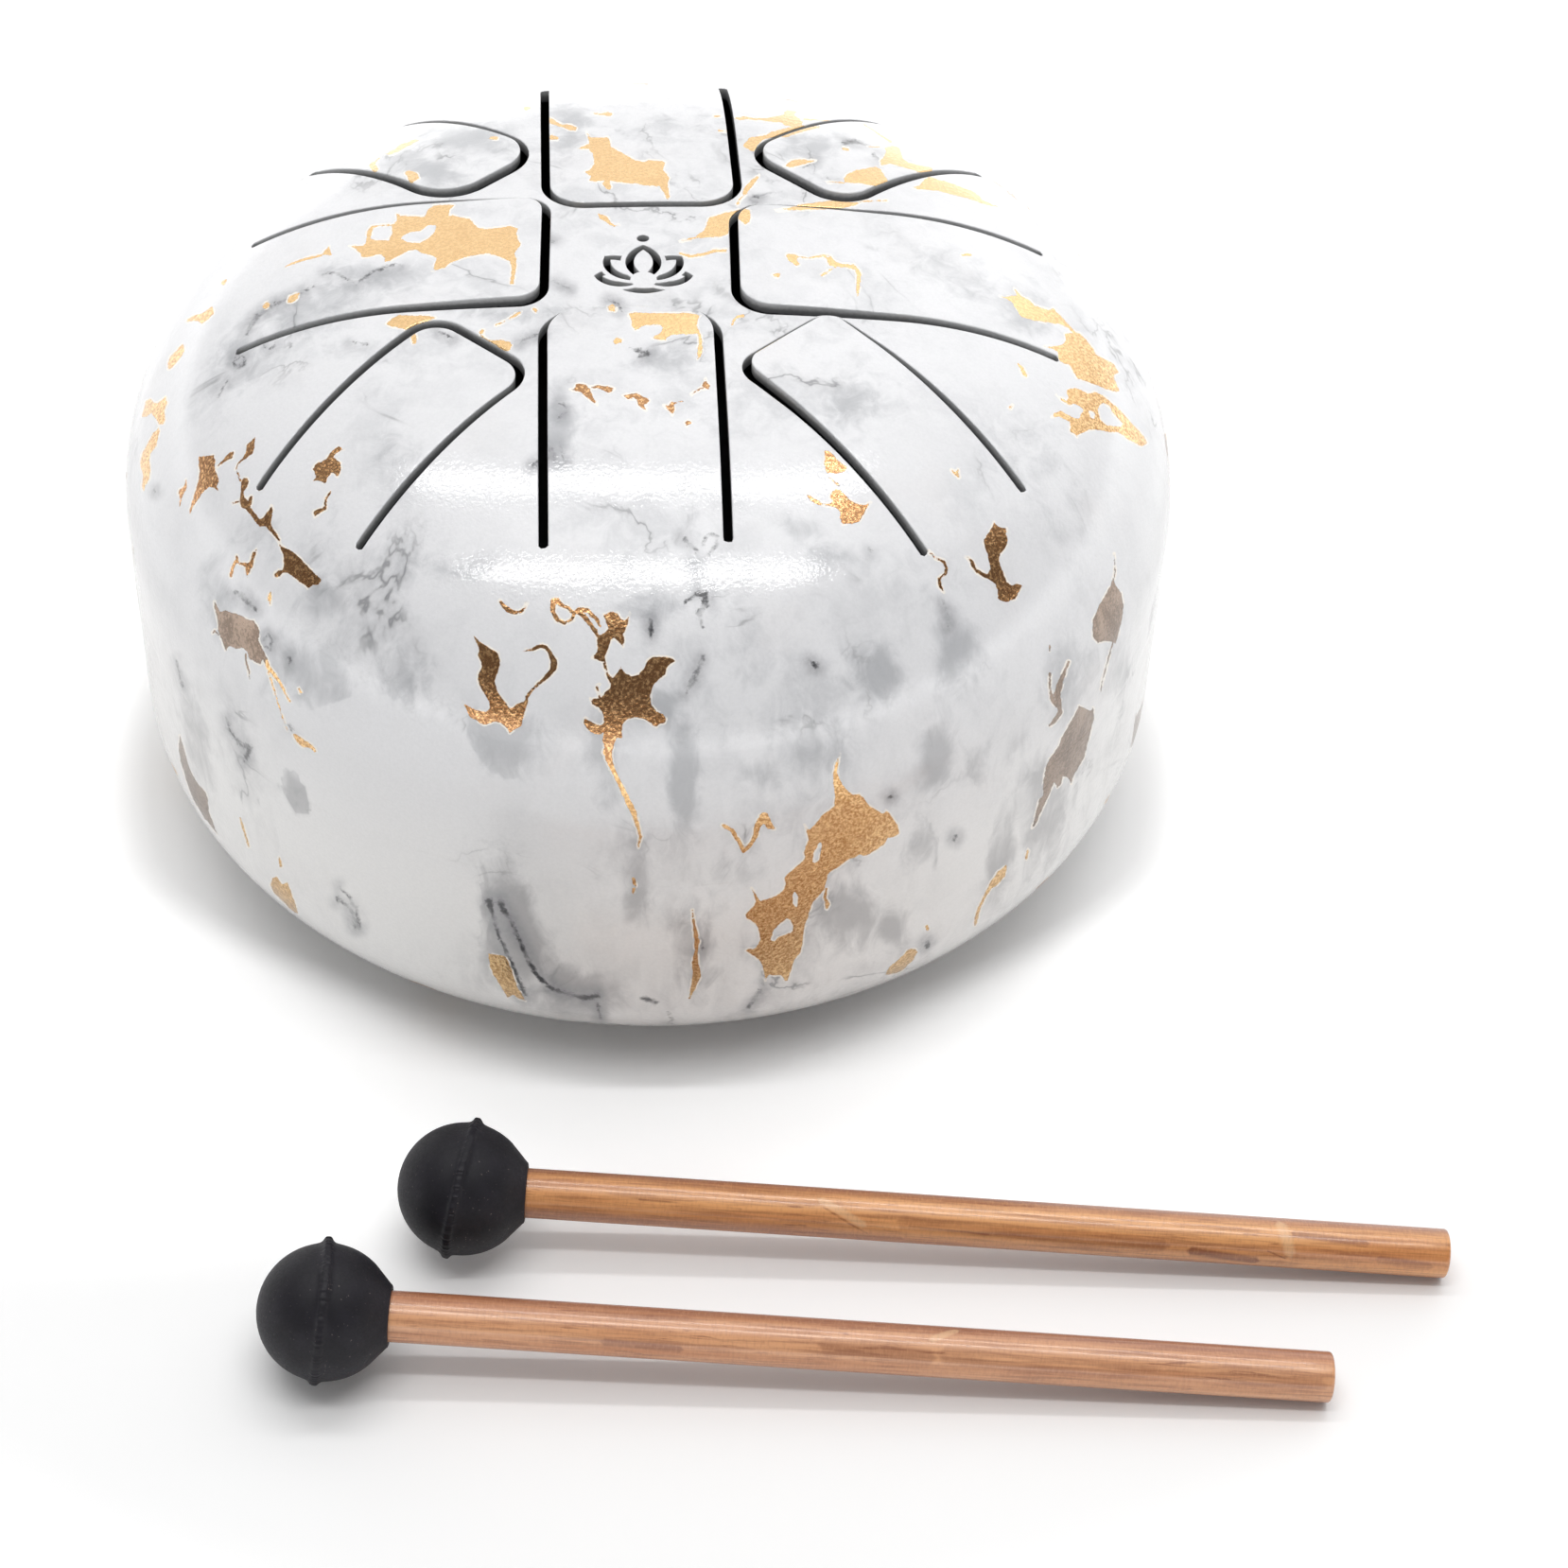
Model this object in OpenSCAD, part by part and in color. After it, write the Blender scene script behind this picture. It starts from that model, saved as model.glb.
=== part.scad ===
// Steel tongue drum with its pair of mallets, in millimetres.
// The origin is the centre of the sound hole, in the flat underside of the shell, with +Z up.
// The front of the drum faces -Y, and the mallets lie in front of it on the surface that the feet stand on.

/* [Drum body] */
// Outside diameter of the shell
drum_d = 155; // [145:1:190]
// Height of the shell, from its flat underside to the top of the dome
shell_h = 90; // [84:1:110]
// Thickness of the steel sheet
steel_t = 1.8; // [1.2:0.1:2.4]
// Radius of the shallow dome that the tongues are cut in
dome_r = 440; // [300:10:700]
// Radius of the shoulder where the dome turns down
shoulder_r = 56; // [48:1:60]
// Angle from the vertical at which the shoulder passes into the haunch
shoulder_turn = 33; // [28:1:38]
// Radius of the haunch between the shoulder and the straight wall
haunch_r = 34; // [28:1:38]
// Radius of the turn between the wall and the flat underside
base_r = 21.5; // [14:0.5:26]
// Height of the upper shell's straight skirt, from the haunch down to the seam
skirt_h = 10; // [6:1:14]
// Height of the lower shell's joggled lip inside the skirt
lap_h = 6; // [3:0.5:8]
// Radial gap between the lip and the skirt, for the sealing bead
lap_gap = 0.1; // [0.05:0.05:0.3]

/* [Sound hole] */
// Diameter of the sound hole in the underside
sound_hole_d = 32; // [20:1:50]

/* [Tongues] */
// Width of the cut slits round the tongues
slit_w = 1.25; // [0.8:0.05:2]
// Radius of a tongue's two free corners, to the middle of the slit
tongue_corner_r = 5; // [3:0.5:7]

/* [Centre cut-out] */
// Height of the lotus cut-out at the centre
lotus_h = 14; // [10:0.5:18]
// Width of the cut strokes of the lotus
lotus_stroke = 1.15; // [0.8:0.05:1.4]
// Steel left between one stroke of the lotus and the next
lotus_bridge = 0.75; // [0.5:0.05:1]
// Sideways offset of the lotus from the drum's axis
lotus_x = -1.4; // [-4:0.1:4]
// Offset of the lotus from the drum's axis, towards the back
lotus_y = -2.3; // [-4:0.1:4]

/* [Feet] */
// Radius of the circle that the feet stand on
foot_ring_r = 44; // [36:1:46]
// Diameter of a rubber foot where it meets the shell
foot_d = 14; // [12:0.5:18]
// Diameter of a foot's underside
foot_tip_d = 12.4; // [11:0.2:14]
// Height of a foot
foot_h = 4.2; // [3.6:0.1:8]
// Depth of the recess that takes the screw head
foot_recess_h = 2.6; // [2.4:0.1:3]
// Diameter of the recess that takes the screw head
foot_recess_d = 7; // [6.6:0.1:8]

/* [Foot fasteners] */
// Shank diameter of the foot screws
screw_d = 3; // [2.5:0.5:4]
// Clearance between a screw and the holes that it passes through, across the diameter
screw_play = 0.3; // [0.2:0.05:0.5]
// Diameter of the screw heads
screw_head_d = 5.6; // [5:0.1:6.4]
// Height of the screw heads
screw_head_h = 1.8; // [1.4:0.1:2.2]
// Height of the bevel round the crown of a screw head
screw_bevel_h = 0.6; // [0.2:0.1:0.8]
// Width of the arms of the cross recess in a screw head
cross_w = 0.75; // [0.5:0.05:1]
// Length of the cross recess from tip to tip
cross_l = 3.4; // [2.4:0.1:4]
// Depth of the cross recess
cross_h = 0.9; // [0.6:0.1:1.2]
// Length of the shank that stands past the nut
screw_tail_h = 1.2; // [0.5:0.1:3]
// Diameter of the washers inside the shell
washer_d = 8; // [7:0.5:10]
// Thickness of the washers
washer_t = 0.6; // [0.4:0.1:1]
// Width of the hexagon nuts across their flats
nut_flats = 5.5; // [5:0.5:7]
// Height of the nuts
nut_h = 2.4; // [2:0.1:3.2]
// Clearance between a screw and its nut, across the diameter
nut_play = 0.1; // [0.05:0.05:0.2]

/* [Mallets] */
// Length of a mallet over all, with its stick fully home in the ball
mallet_l = 143.1; // [120:0.1:200]
// How far the nearer mallet's stick stands out from being fully home
nearer_pull = 1.8; // [0:0.1:3]
// Diameter of a stick
stick_d = 6.8; // [6:0.1:8]
// Chamfer round the free end of a stick
stick_chamfer = 0.3; // [0.1:0.1:1]
// Diameter of the rubber ball
ball_d = 18.1; // [16:0.1:24]
// Diameter of the flat mouth where the stick enters the ball
mouth_d = 7.9; // [7.6:0.1:9]
// Distance of that mouth from the centre of the ball
mouth_reach = 8.6; // [8:0.1:9]
// Angle from the stick at which the ball passes into its straight flank
flank_turn = 47; // [40:1:55]
// Height of the moulding ridge round the ball
ridge_h = 0.4; // [0.2:0.1:0.8]
// Width of the moulding ridge
ridge_w = 0.9; // [0.5:0.1:1.5]
// Depth of the socket in the ball, from its mouth
socket_h = 12; // [8:0.5:14]
// Radial gap for the glue between a stick and its socket
glue_gap = 0.1; // [0.05:0.05:0.2]
// Free distance between the drum's wall and the nearer ball
mallet_gap = 13.4; // [5:0.1:60]
// Free distance between the two balls, across the sticks
mallet_spacing = 3.6; // [1:0.1:40]
// How far the farther mallet lies to the left of the nearer one
mallet_stagger = 16.3; // [0:0.1:60]
// Place of the nearer ball to the right of the drum's axis
mallet_x = -26.7; // [-80:0.1:40]
// Heading of the sticks, turned from +X towards +Y
mallet_heading = -3.6; // [-8:0.1:0]

/* [Hidden] */
$fn = 128;

// One overrun past a face serves every cut.
overrun = 1;
// Neighbouring arcs of an outline stand this much proud of one another, so that they cross cleanly.
arc_lift = 0.02;

// The eight tongues, counter-clockwise from the front one, which points at -Y.
// Each is a different size, because each sounds its own note. Long and short ones take turns.
tongue_turns = [0.7, 43.0, 89.4, 135.7, 181.3, 224.0, 269.7, 316.3];
// Distances from the drum's axis along the tongue, as shares of the drum's radius: free end and root.
tongue_tip_shares = [0.173, 0.337, 0.149, 0.376, 0.166, 0.396, 0.197, 0.392];
tongue_root_shares = [0.716, 0.811, 0.738, 0.79, 0.722, 0.8, 0.753, 0.826];
// Widths between the middles of the slits, as shares of the same radius: at the free end and at the root.
tongue_tip_width_shares = [0.31, 0.232, 0.334, 0.255, 0.361, 0.252, 0.331, 0.249];
tongue_root_width_shares = [0.312, 0.254, 0.333, 0.258, 0.356, 0.24, 0.343, 0.252];
// Offset of each tongue to its own side, as shares of the same radius.
tongue_shift_shares = [-0.046, -0.001, 0.001, -0.007, 0.013, 0.026, -0.019, -0.044];
// Corner radii as shares of tongue_corner_r.
tongue_corner_shares = [1.12, 0.65, 0.98, 1.12, 1.16, 1.35, 0.75, 0.92];

// The lotus: petals fan out from its foot, each behind the one that is more upright.
petal_turns = [0, 44, -44, 82, -82];
// Lengths and widths of the petals as shares of the lotus's height.
petal_length_shares = [0.6, 0.56, 0.56, 0.5, 0.5];
petal_width_shares = [0.36, 0.34, 0.34, 0.3, 0.3];
// For every petal but the first, the one that it stands behind.
petal_fronts = [0, 0, 0, 1, 2];
// The two lowest petals, which the bowl line keeps clear of.
low_petals = [3, 4];
// Height of the petals' common foot as a share of the lotus's height.
lotus_foot_share = -0.27;
// The drop above the petals: its height as a share of the lotus's height, its radius as one of the stroke.
lotus_drop_share = 0.45;
lotus_drop_r_share = 0.75;
// The bowl line under the petals: radius and height of its lowest point as shares of the lotus's height.
lotus_bowl_r_share = 0.42;
lotus_bowl_share = -0.5;
// Radius of the bowl line's inner edge as a share of its outer one.
lotus_bowl_inner_share = 1.2;

// Centres of the profile's arcs, which meet tangent to tangent but for arc_lift.
drum_r = drum_d / 2;
wall_r = drum_r - arc_lift;
haunch_x = wall_r - arc_lift - haunch_r;
dome_turn = asin((haunch_x - (shoulder_r - haunch_r) * sin(shoulder_turn)) / (dome_r - shoulder_r));
dome_c = [0, shell_h - dome_r];
shoulder_c = dome_c + (dome_r - shoulder_r) * [sin(dome_turn), cos(dome_turn)];
haunch_c = shoulder_c + (shoulder_r - haunch_r) * [sin(shoulder_turn), cos(shoulder_turn)];
wall_top = haunch_c[1];
seam_z = wall_top - skirt_h;
reach = dome_r + drum_r;

sound_hole_r = sound_hole_d / 2;
foot_count = 3;
foot_angle = 90;
foot_step = 360 / foot_count;

screw_r = screw_d / 2;
screw_hole_r = screw_r + screw_play / 2;
foot_seat_z = -foot_h + foot_recess_h;
washer_z = steel_t;
nut_z = washer_z + washer_t;
screw_tip_z = nut_z + nut_h + screw_tail_h;
screw_head_z = foot_seat_z - screw_head_h;

ball_r = ball_d / 2;
stick_r = stick_d / 2;
ridge_r = ball_r + ridge_h;
socket_floor = mouth_reach - socket_h;
mallet_pitch = 2 * ball_r + mallet_spacing;
nearer_at = [mallet_x, -(drum_r + mallet_gap + ball_r)];
farther_at = nearer_at
    - mallet_stagger * [cos(mallet_heading), sin(mallet_heading)]
    + mallet_pitch * [sin(mallet_heading), -cos(mallet_heading)];
mallet_places = [nearer_at, farther_at];
stick_pulls = [nearer_pull, 0];

// Half outline of the upper shell, down to the seam, drawn smaller by the inset.
module upper_outline(inset) {
    intersection() {
        translate([0, seam_z]) square([drum_r, shell_h]);
        union() {
            intersection() {
                translate(dome_c) circle(r = dome_r - inset, $fn = 256);
                polygon([dome_c, dome_c + reach * [sin(dome_turn), cos(dome_turn)], dome_c + [0, reach]]);
            }
            intersection() {
                translate(shoulder_c) circle(r = shoulder_r + arc_lift - inset, $fn = 256);
                polygon([
                    shoulder_c - [0, shoulder_r],
                    shoulder_c,
                    shoulder_c + reach * [sin(shoulder_turn), cos(shoulder_turn)],
                    [0, shell_h + reach],
                    [0, shoulder_c[1] - shoulder_r]
                ]);
            }
            translate(haunch_c) circle(r = haunch_r + 2 * arc_lift - inset, $fn = 256);
            square([wall_r - inset, wall_top]);
        }
    }
}

// Half outline of the lower shell, up to the seam, drawn smaller by the inset.
module lower_outline(inset) {
    intersection() {
        translate([0, inset]) square([drum_r, seam_z - inset]);
        union() {
            translate([wall_r - base_r, base_r]) circle(r = base_r - inset, $fn = 256);
            square([wall_r - base_r, seam_z]);
            translate([0, base_r]) square([wall_r - inset, seam_z]);
        }
    }
}

// Outline of one tongue, larger by grow on its free sides, from its free end out to the given root.
module tongue_outline(i, root, grow) {
    tip = drum_r * tongue_tip_shares[i] - grow;
    root_w = drum_r * tongue_root_width_shares[i];
    tip_w = drum_r * tongue_tip_width_shares[i];
    length = drum_r * (tongue_root_shares[i] - tongue_tip_shares[i]);
    flare = atan((root_w - tip_w) / 2 / length);
    half_tip = tip_w / 2 + grow / cos(flare) - grow * tan(flare);
    corner_r = tongue_corner_r * tongue_corner_shares[i] + grow;
    corner_v = half_tip + corner_r * tan(flare) - corner_r / cos(flare);
    side_u = tip + corner_r - corner_r * sin(flare);
    side_v = corner_v + corner_r * cos(flare);
    root_v = half_tip + (root - tip) * tan(flare);
    rotate(tongue_turns[i] - 90) translate([0, drum_r * tongue_shift_shares[i]]) {
        polygon([
            [tip, -corner_v], [side_u, -side_v], [root, -root_v],
            [root, root_v], [side_u, side_v], [tip, corner_v]
        ]);
        for (side = [-1, 1])
            translate([tip + corner_r, side * corner_v]) circle(r = corner_r + arc_lift);
    }
}

// The narrow U-shaped slit round one tongue, open at the root.
module tongue_slit(i) {
    root = drum_r * tongue_root_shares[i];
    difference() {
        tongue_outline(i, root, slit_w / 2);
        tongue_outline(i, root + overrun, -slit_w / 2);
    }
}

// Pointed petal that stands on the origin, between two arcs.
module petal(length, width) {
    arc_r = (length * length + width * width) / (4 * width);
    intersection() {
        translate([arc_r - width / 2, length / 2]) circle(r = arc_r);
        translate([width / 2 - arc_r, length / 2]) circle(r = arc_r);
    }
}

// One petal of the lotus, larger by grow all round.
module lotus_petal(i, grow) {
    length = lotus_h * petal_length_shares[i];
    width = lotus_h * petal_width_shares[i];
    translate([0, lotus_h * lotus_foot_share]) rotate(-petal_turns[i]) translate([0, -grow])
        petal(length + 2 * grow, width + 2 * grow);
}

// The lotus as open strokes, so that no piece of steel drops out of it.
module lotus() {
    for (i = [0 : len(petal_turns) - 1])
        difference() {
            lotus_petal(i, 0);
            lotus_petal(i, -lotus_stroke);
            if (i > 0) lotus_petal(petal_fronts[i], lotus_bridge);
            translate([0, lotus_h * lotus_foot_share]) circle(r = lotus_stroke + lotus_bridge);
        }
    translate([0, lotus_h * lotus_drop_share]) circle(r = lotus_stroke * lotus_drop_r_share);
    lotus_bowl();
}

// Crescent under the petals.
module lotus_bowl() {
    bowl_r = lotus_h * lotus_bowl_r_share;
    inner_r = bowl_r * lotus_bowl_inner_share;
    lowest = lotus_h * lotus_bowl_share;
    difference() {
        translate([0, lowest + bowl_r]) circle(r = bowl_r);
        translate([0, lowest + lotus_stroke + inner_r]) circle(r = inner_r);
        for (i = low_petals)
            lotus_petal(i, lotus_bridge);
    }
}

module at_foot(i) {
    rotate(foot_angle + foot_step * (i - 1)) translate([foot_ring_r, 0]) children();
}

module upper_shell() color([0.9, 0.9, 0.91])
    difference() {
        rotate_extrude() difference() {
            upper_outline(0);
            upper_outline(steel_t);
        }
        translate([0, 0, wall_top]) linear_extrude(shell_h) {
            for (i = [0 : len(tongue_turns) - 1])
                tongue_slit(i);
            translate([lotus_x, lotus_y]) lotus();
        }
    }

module lower_shell() color([0.86, 0.85, 0.84])
    difference() {
        rotate_extrude() {
            difference() {
                lower_outline(0);
                lower_outline(steel_t);
            }
            joggled_lip();
        }
        translate([0, 0, -overrun]) cylinder(r = sound_hole_r, h = steel_t + 2 * overrun);
        for (i = [1 : foot_count])
            at_foot(i) translate([0, 0, -overrun]) cylinder(r = screw_hole_r, h = steel_t + 2 * overrun);
    }

// Half section of the lip that steps in from the lower shell's rim and stands inside the skirt.
module joggled_lip() {
    wall_in = wall_r - steel_t;
    lip_out = wall_in - lap_gap;
    lip_in = lip_out - steel_t;
    polygon([
        [wall_in, seam_z - 2 * steel_t],
        [wall_in, seam_z],
        [lip_out, seam_z],
        [lip_out, seam_z + lap_h],
        [lip_in, seam_z + lap_h],
        [lip_in, seam_z - steel_t + lap_gap]
    ]);
}

// Rubber foot, a tapered bumper with a recess for the screw head.
module foot(i) color([0.1, 0.1, 0.1])
    at_foot(i) rotate_extrude() polygon([
        [screw_hole_r, 0],
        [foot_d / 2, 0],
        [foot_tip_d / 2, -foot_h],
        [foot_recess_d / 2, -foot_h],
        [foot_recess_d / 2, foot_seat_z],
        [screw_hole_r, foot_seat_z]
    ]);

// Pan-head screw that holds a foot, driven up from below.
module foot_screw(i) color([0.75, 0.75, 0.77])
    at_foot(i) difference() {
        union() {
            translate([0, 0, foot_seat_z - overrun])
                cylinder(r = screw_r, h = screw_tip_z - foot_seat_z + overrun);
            translate([0, 0, screw_head_z + screw_bevel_h])
                cylinder(r = screw_head_d / 2, h = screw_head_h - screw_bevel_h);
            translate([0, 0, screw_head_z])
                cylinder(r1 = screw_head_d / 2 - screw_bevel_h, r2 = screw_head_d / 2, h = screw_bevel_h);
        }
        for (turn = [0, 90])
            rotate(turn) translate([-cross_l / 2, -cross_w / 2, screw_head_z - overrun])
                cube([cross_l, cross_w, cross_h + overrun]);
    }

module foot_washer(i) color([0.8, 0.8, 0.8])
    at_foot(i) translate([0, 0, washer_z]) difference() {
        cylinder(r = washer_d / 2, h = washer_t);
        translate([0, 0, -overrun]) cylinder(r = screw_hole_r, h = washer_t + 2 * overrun);
    }

// The nut is bored to the screw's shank with a running gap, in place of the thread.
module foot_nut(i) color([0.78, 0.76, 0.7])
    at_foot(i) translate([0, 0, nut_z]) difference() {
        cylinder(r = nut_flats / sqrt(3), h = nut_h, $fn = 6);
        translate([0, 0, -overrun]) cylinder(r = screw_r + nut_play / 2, h = nut_h + 2 * overrun);
    }

// Distance of a stick's free end from the centre of its ball.
function stick_end(i) = mallet_l + stick_pulls[i - 1] - ball_r;

// Lays mallet i on its ball's ridge and on the end of its stick, with the stick along its own +Z.
module lying(i) {
    tilt = atan((ridge_r - stick_r) / (stick_end(i) - ridge_w / 2));
    ball_z = -foot_h + ridge_r * cos(tilt) + ridge_w / 2 * sin(tilt);
    place = mallet_places[i - 1];
    translate([place[0], place[1], ball_z]) rotate([0, tilt, mallet_heading]) rotate([0, 90, 0]) children();
}

// Rubber ball with its moulding ridge, its straight flank and the socket for the stick.
module mallet_head(i) color([0.12, 0.12, 0.13])
    lying(i) difference() {
        rotate_extrude() {
            intersection() {
                circle(r = ball_r);
                translate([0, -ball_r]) square([ball_r, 2 * ball_r]);
            }
            polygon([
                [0, 0],
                ball_r * [sin(flank_turn), cos(flank_turn)],
                [mouth_d / 2, mouth_reach],
                [0, mouth_reach]
            ]);
            translate([0, -ridge_w / 2]) square([ridge_r, ridge_w]);
        }
        translate([0, 0, socket_floor]) cylinder(r = stick_r + glue_gap, h = socket_h + overrun);
    }

// Turned wooden stick.
module mallet_stick(i) color([0.76, 0.52, 0.33])
    lying(i) rotate_extrude() polygon([
        [0, socket_floor + glue_gap + stick_pulls[i - 1]],
        [stick_r, socket_floor + glue_gap + stick_pulls[i - 1]],
        [stick_r, stick_end(i) - stick_chamfer],
        [stick_r - stick_chamfer, stick_end(i)],
        [0, stick_end(i)]
    ]);

upper_shell();
lower_shell();
foot(1);  // foot_1
foot(2);  // foot_2
foot(3);  // foot_3
foot_screw(1);  // foot_screw_1
foot_screw(2);  // foot_screw_2
foot_screw(3);  // foot_screw_3
foot_washer(1);  // foot_washer_1
foot_washer(2);  // foot_washer_2
foot_washer(3);  // foot_washer_3
foot_nut(1);  // foot_nut_1
foot_nut(2);  // foot_nut_2
foot_nut(3);  // foot_nut_3
mallet_head(1);  // mallet_head_1
mallet_stick(1);  // mallet_stick_1
mallet_head(2);  // mallet_head_2
mallet_stick(2);  // mallet_stick_2
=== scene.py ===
"""A steel tongue drum with marble lacquer and its two mallets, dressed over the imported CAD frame."""

import math
import random

import bpy
import numpy as np
from mathutils import Matrix, Vector, kdtree
from mathutils.geometry import delaunay_2d_cdt


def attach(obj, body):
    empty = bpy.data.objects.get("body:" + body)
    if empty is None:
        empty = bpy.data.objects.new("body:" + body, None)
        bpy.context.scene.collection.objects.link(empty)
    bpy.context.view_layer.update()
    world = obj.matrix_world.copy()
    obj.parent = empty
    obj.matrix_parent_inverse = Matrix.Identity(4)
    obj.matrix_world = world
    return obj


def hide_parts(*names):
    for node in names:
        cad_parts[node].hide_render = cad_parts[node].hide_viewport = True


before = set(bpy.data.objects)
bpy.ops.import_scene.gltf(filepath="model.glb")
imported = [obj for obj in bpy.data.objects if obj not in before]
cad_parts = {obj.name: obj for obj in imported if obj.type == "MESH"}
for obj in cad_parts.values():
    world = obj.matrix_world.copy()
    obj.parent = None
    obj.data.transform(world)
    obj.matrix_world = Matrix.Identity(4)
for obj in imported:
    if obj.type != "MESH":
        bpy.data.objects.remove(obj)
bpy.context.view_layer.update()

MM = 0.001
PHOTO_W = 1658

# Sizes of the drum, in mm, as in the part's source.
DRUM_R = 77.5
SHELL_H = 90.0
SHEET = 1.8
DOME_R = 440.0
SHOULDER_R = 56.0
SHOULDER_TURN = math.radians(33)
HAUNCH_R = 34.0
BASE_R = 21.5
SKIRT_H = 10.0
LAP_H = 6.0
LAP_GAP = 0.1
HOLE_R = 16.0
SLIT_W = 1.25
CORNER_R = 5.0
FLOOR_Z = -4.2

# Radii in mm of eased edges and of the slits' rounded ends.
SLIT_EDGE, LOTUS_EDGE, HOLE_EDGE, RIM_EDGE, SLIT_END_R = 0.2, 0.15, 0.25, 0.03, 0.4
# Distances in mm between points along the slits, the lotus and its drop, the sound hole and the screw holes.
SLIT_STEP, LOTUS_STEP, DROP_STEP, HOLE_STEP, SCREW_STEP = 0.5, 0.3, 0.2, 0.8, 0.3

# Foot and fastener sizes, in mm.
FOOT_RING = 44.0
FOOT_R, FOOT_TIP_R, FOOT_H = 7.0, 6.2, 4.2
RECESS_H, RECESS_R = 2.6, 3.5
SCREW_R, SCREW_HOLE_R = 1.5, 1.65
HEAD_R, HEAD_H, HEAD_BEVEL = 2.8, 1.8, 0.6
CROSS_W, CROSS_L, CROSS_H = 0.75, 3.4, 0.9
WASHER_R, WASHER_T = 4.0, 0.6
NUT_FLATS, NUT_H, TAIL_H = 5.5, 2.4, 1.2
NUT_BORE_R, THREAD_PITCH, THREAD_DEPTH, THREAD_END = 1.55, 0.5, 0.26, 0.3
# How much a nut's corners fall for each mm that they reach further out than its flats.
NUT_CHAMFER = 0.58
# How far each foot is turned more than the last, in degrees.
FOOT_TURN = 17

# Mallet sizes, in mm.
STICK_R = 3.4
BALL_R, MOUTH_R, MOUTH_REACH = 9.05, 3.95, 8.6
FLANK_TURN = math.radians(47)
RIDGE_H, RIDGE_W = 0.4, 0.9
SOCKET_H, GLUE = 12.0, 0.1
MALLET_L = 143.1
STICK_PULLS = (1.8, 0.0)
MALLET_HEADING = math.radians(-3.6)
MALLET_GAP, MALLET_SPACING, MALLET_STAGGER, MALLET_X = 13.4, 3.6, 16.3, -26.7

# The eight tongues, counter-clockwise from the front: direction in degrees, then shares of DRUM_R.
TONGUE_TURNS = (0.7, 43.0, 89.4, 135.7, 181.3, 224.0, 269.7, 316.3)
TONGUE_TIPS = (0.173, 0.337, 0.149, 0.376, 0.166, 0.396, 0.197, 0.392)
TONGUE_ROOTS = (0.716, 0.811, 0.738, 0.79, 0.722, 0.8, 0.753, 0.826)
TONGUE_TIP_WIDTHS = (0.31, 0.232, 0.334, 0.255, 0.361, 0.252, 0.331, 0.249)
TONGUE_ROOT_WIDTHS = (0.312, 0.254, 0.333, 0.258, 0.356, 0.24, 0.343, 0.252)
TONGUE_SHIFTS = (-0.046, -0.001, 0.001, -0.007, 0.013, 0.026, -0.019, -0.044)
TONGUE_CORNERS = (1.12, 0.65, 0.98, 1.12, 1.16, 1.35, 0.75, 0.92)
# How far each tongue's free end was bent up in tuning, in mm.
TONGUE_LIFTS = (1.35, 1.25, 1.0, 0.8, 0.1, 0.8, 1.0, -0.3)

# The lotus cut-out in the middle.
LOTUS_H, LOTUS_STROKE, LOTUS_BRIDGE = 14.0, 1.15, 0.75
LOTUS_AT = (-1.4, -2.3)
PETAL_TURNS = (0, 44, -44, 82, -82)
PETAL_LENGTHS = (0.6, 0.56, 0.56, 0.5, 0.5)
PETAL_WIDTHS = (0.36, 0.34, 0.34, 0.3, 0.3)
PETAL_FRONTS = (None, 0, 0, 1, 2)
LOTUS_FOOT, LOTUS_DROP, LOTUS_DROP_R = -0.27, 0.45, 0.75
BOWL_R, BOWL_LOW, BOWL_INNER = 0.42, -0.5, 1.2

# The photograph's camera: place in mm, direction in degrees, focal length in pixels of the photograph.
CAMERA_AT = (-6.15, -388.34, 356.66)
CAMERA_PITCH, CAMERA_HEADING, CAMERA_ROLL = 43.576, -4.136, 2.572
FOCAL_PX = 3471.8


# scene and camera

def new_object(name, data):
    """A new object in the scene."""
    piece = bpy.data.objects.new(name, data)
    bpy.context.scene.collection.objects.link(piece)
    return piece


def camera_matrix():
    turn = Matrix.Rotation(math.radians(CAMERA_HEADING), 4, "Z")
    tip = Matrix.Rotation(math.radians(90 - CAMERA_PITCH), 4, "X")
    roll = Matrix.Rotation(math.radians(CAMERA_ROLL), 4, "Z")
    return Matrix.Translation(Vector(CAMERA_AT) * MM) @ turn @ tip @ roll


def make_camera():
    data = bpy.data.cameras.new("camera")
    data.sensor_width = 36
    data.lens = FOCAL_PX * data.sensor_width / PHOTO_W
    data.clip_start = 0.01
    camera = new_object("camera", data)
    camera.matrix_world = camera_matrix()
    bpy.context.scene.camera = camera


def photo_view(points, normals):
    """Pixels of the photograph for points in mm, and how squarely the surface faces the camera there."""
    m = np.array(camera_matrix())
    rel = points - np.array(CAMERA_AT)
    x, y, z = (rel @ m[:3, k] for k in range(3))
    px = np.stack([PHOTO_W / 2 + FOCAL_PX * x / -z, PHOTO_W / 2 - FOCAL_PX * y / -z], 1)
    toward = -rel / np.linalg.norm(rel, axis=1)[:, None]
    return px, (toward * normals).sum(1)


# the pattern's places, in pixels of the photograph

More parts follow.
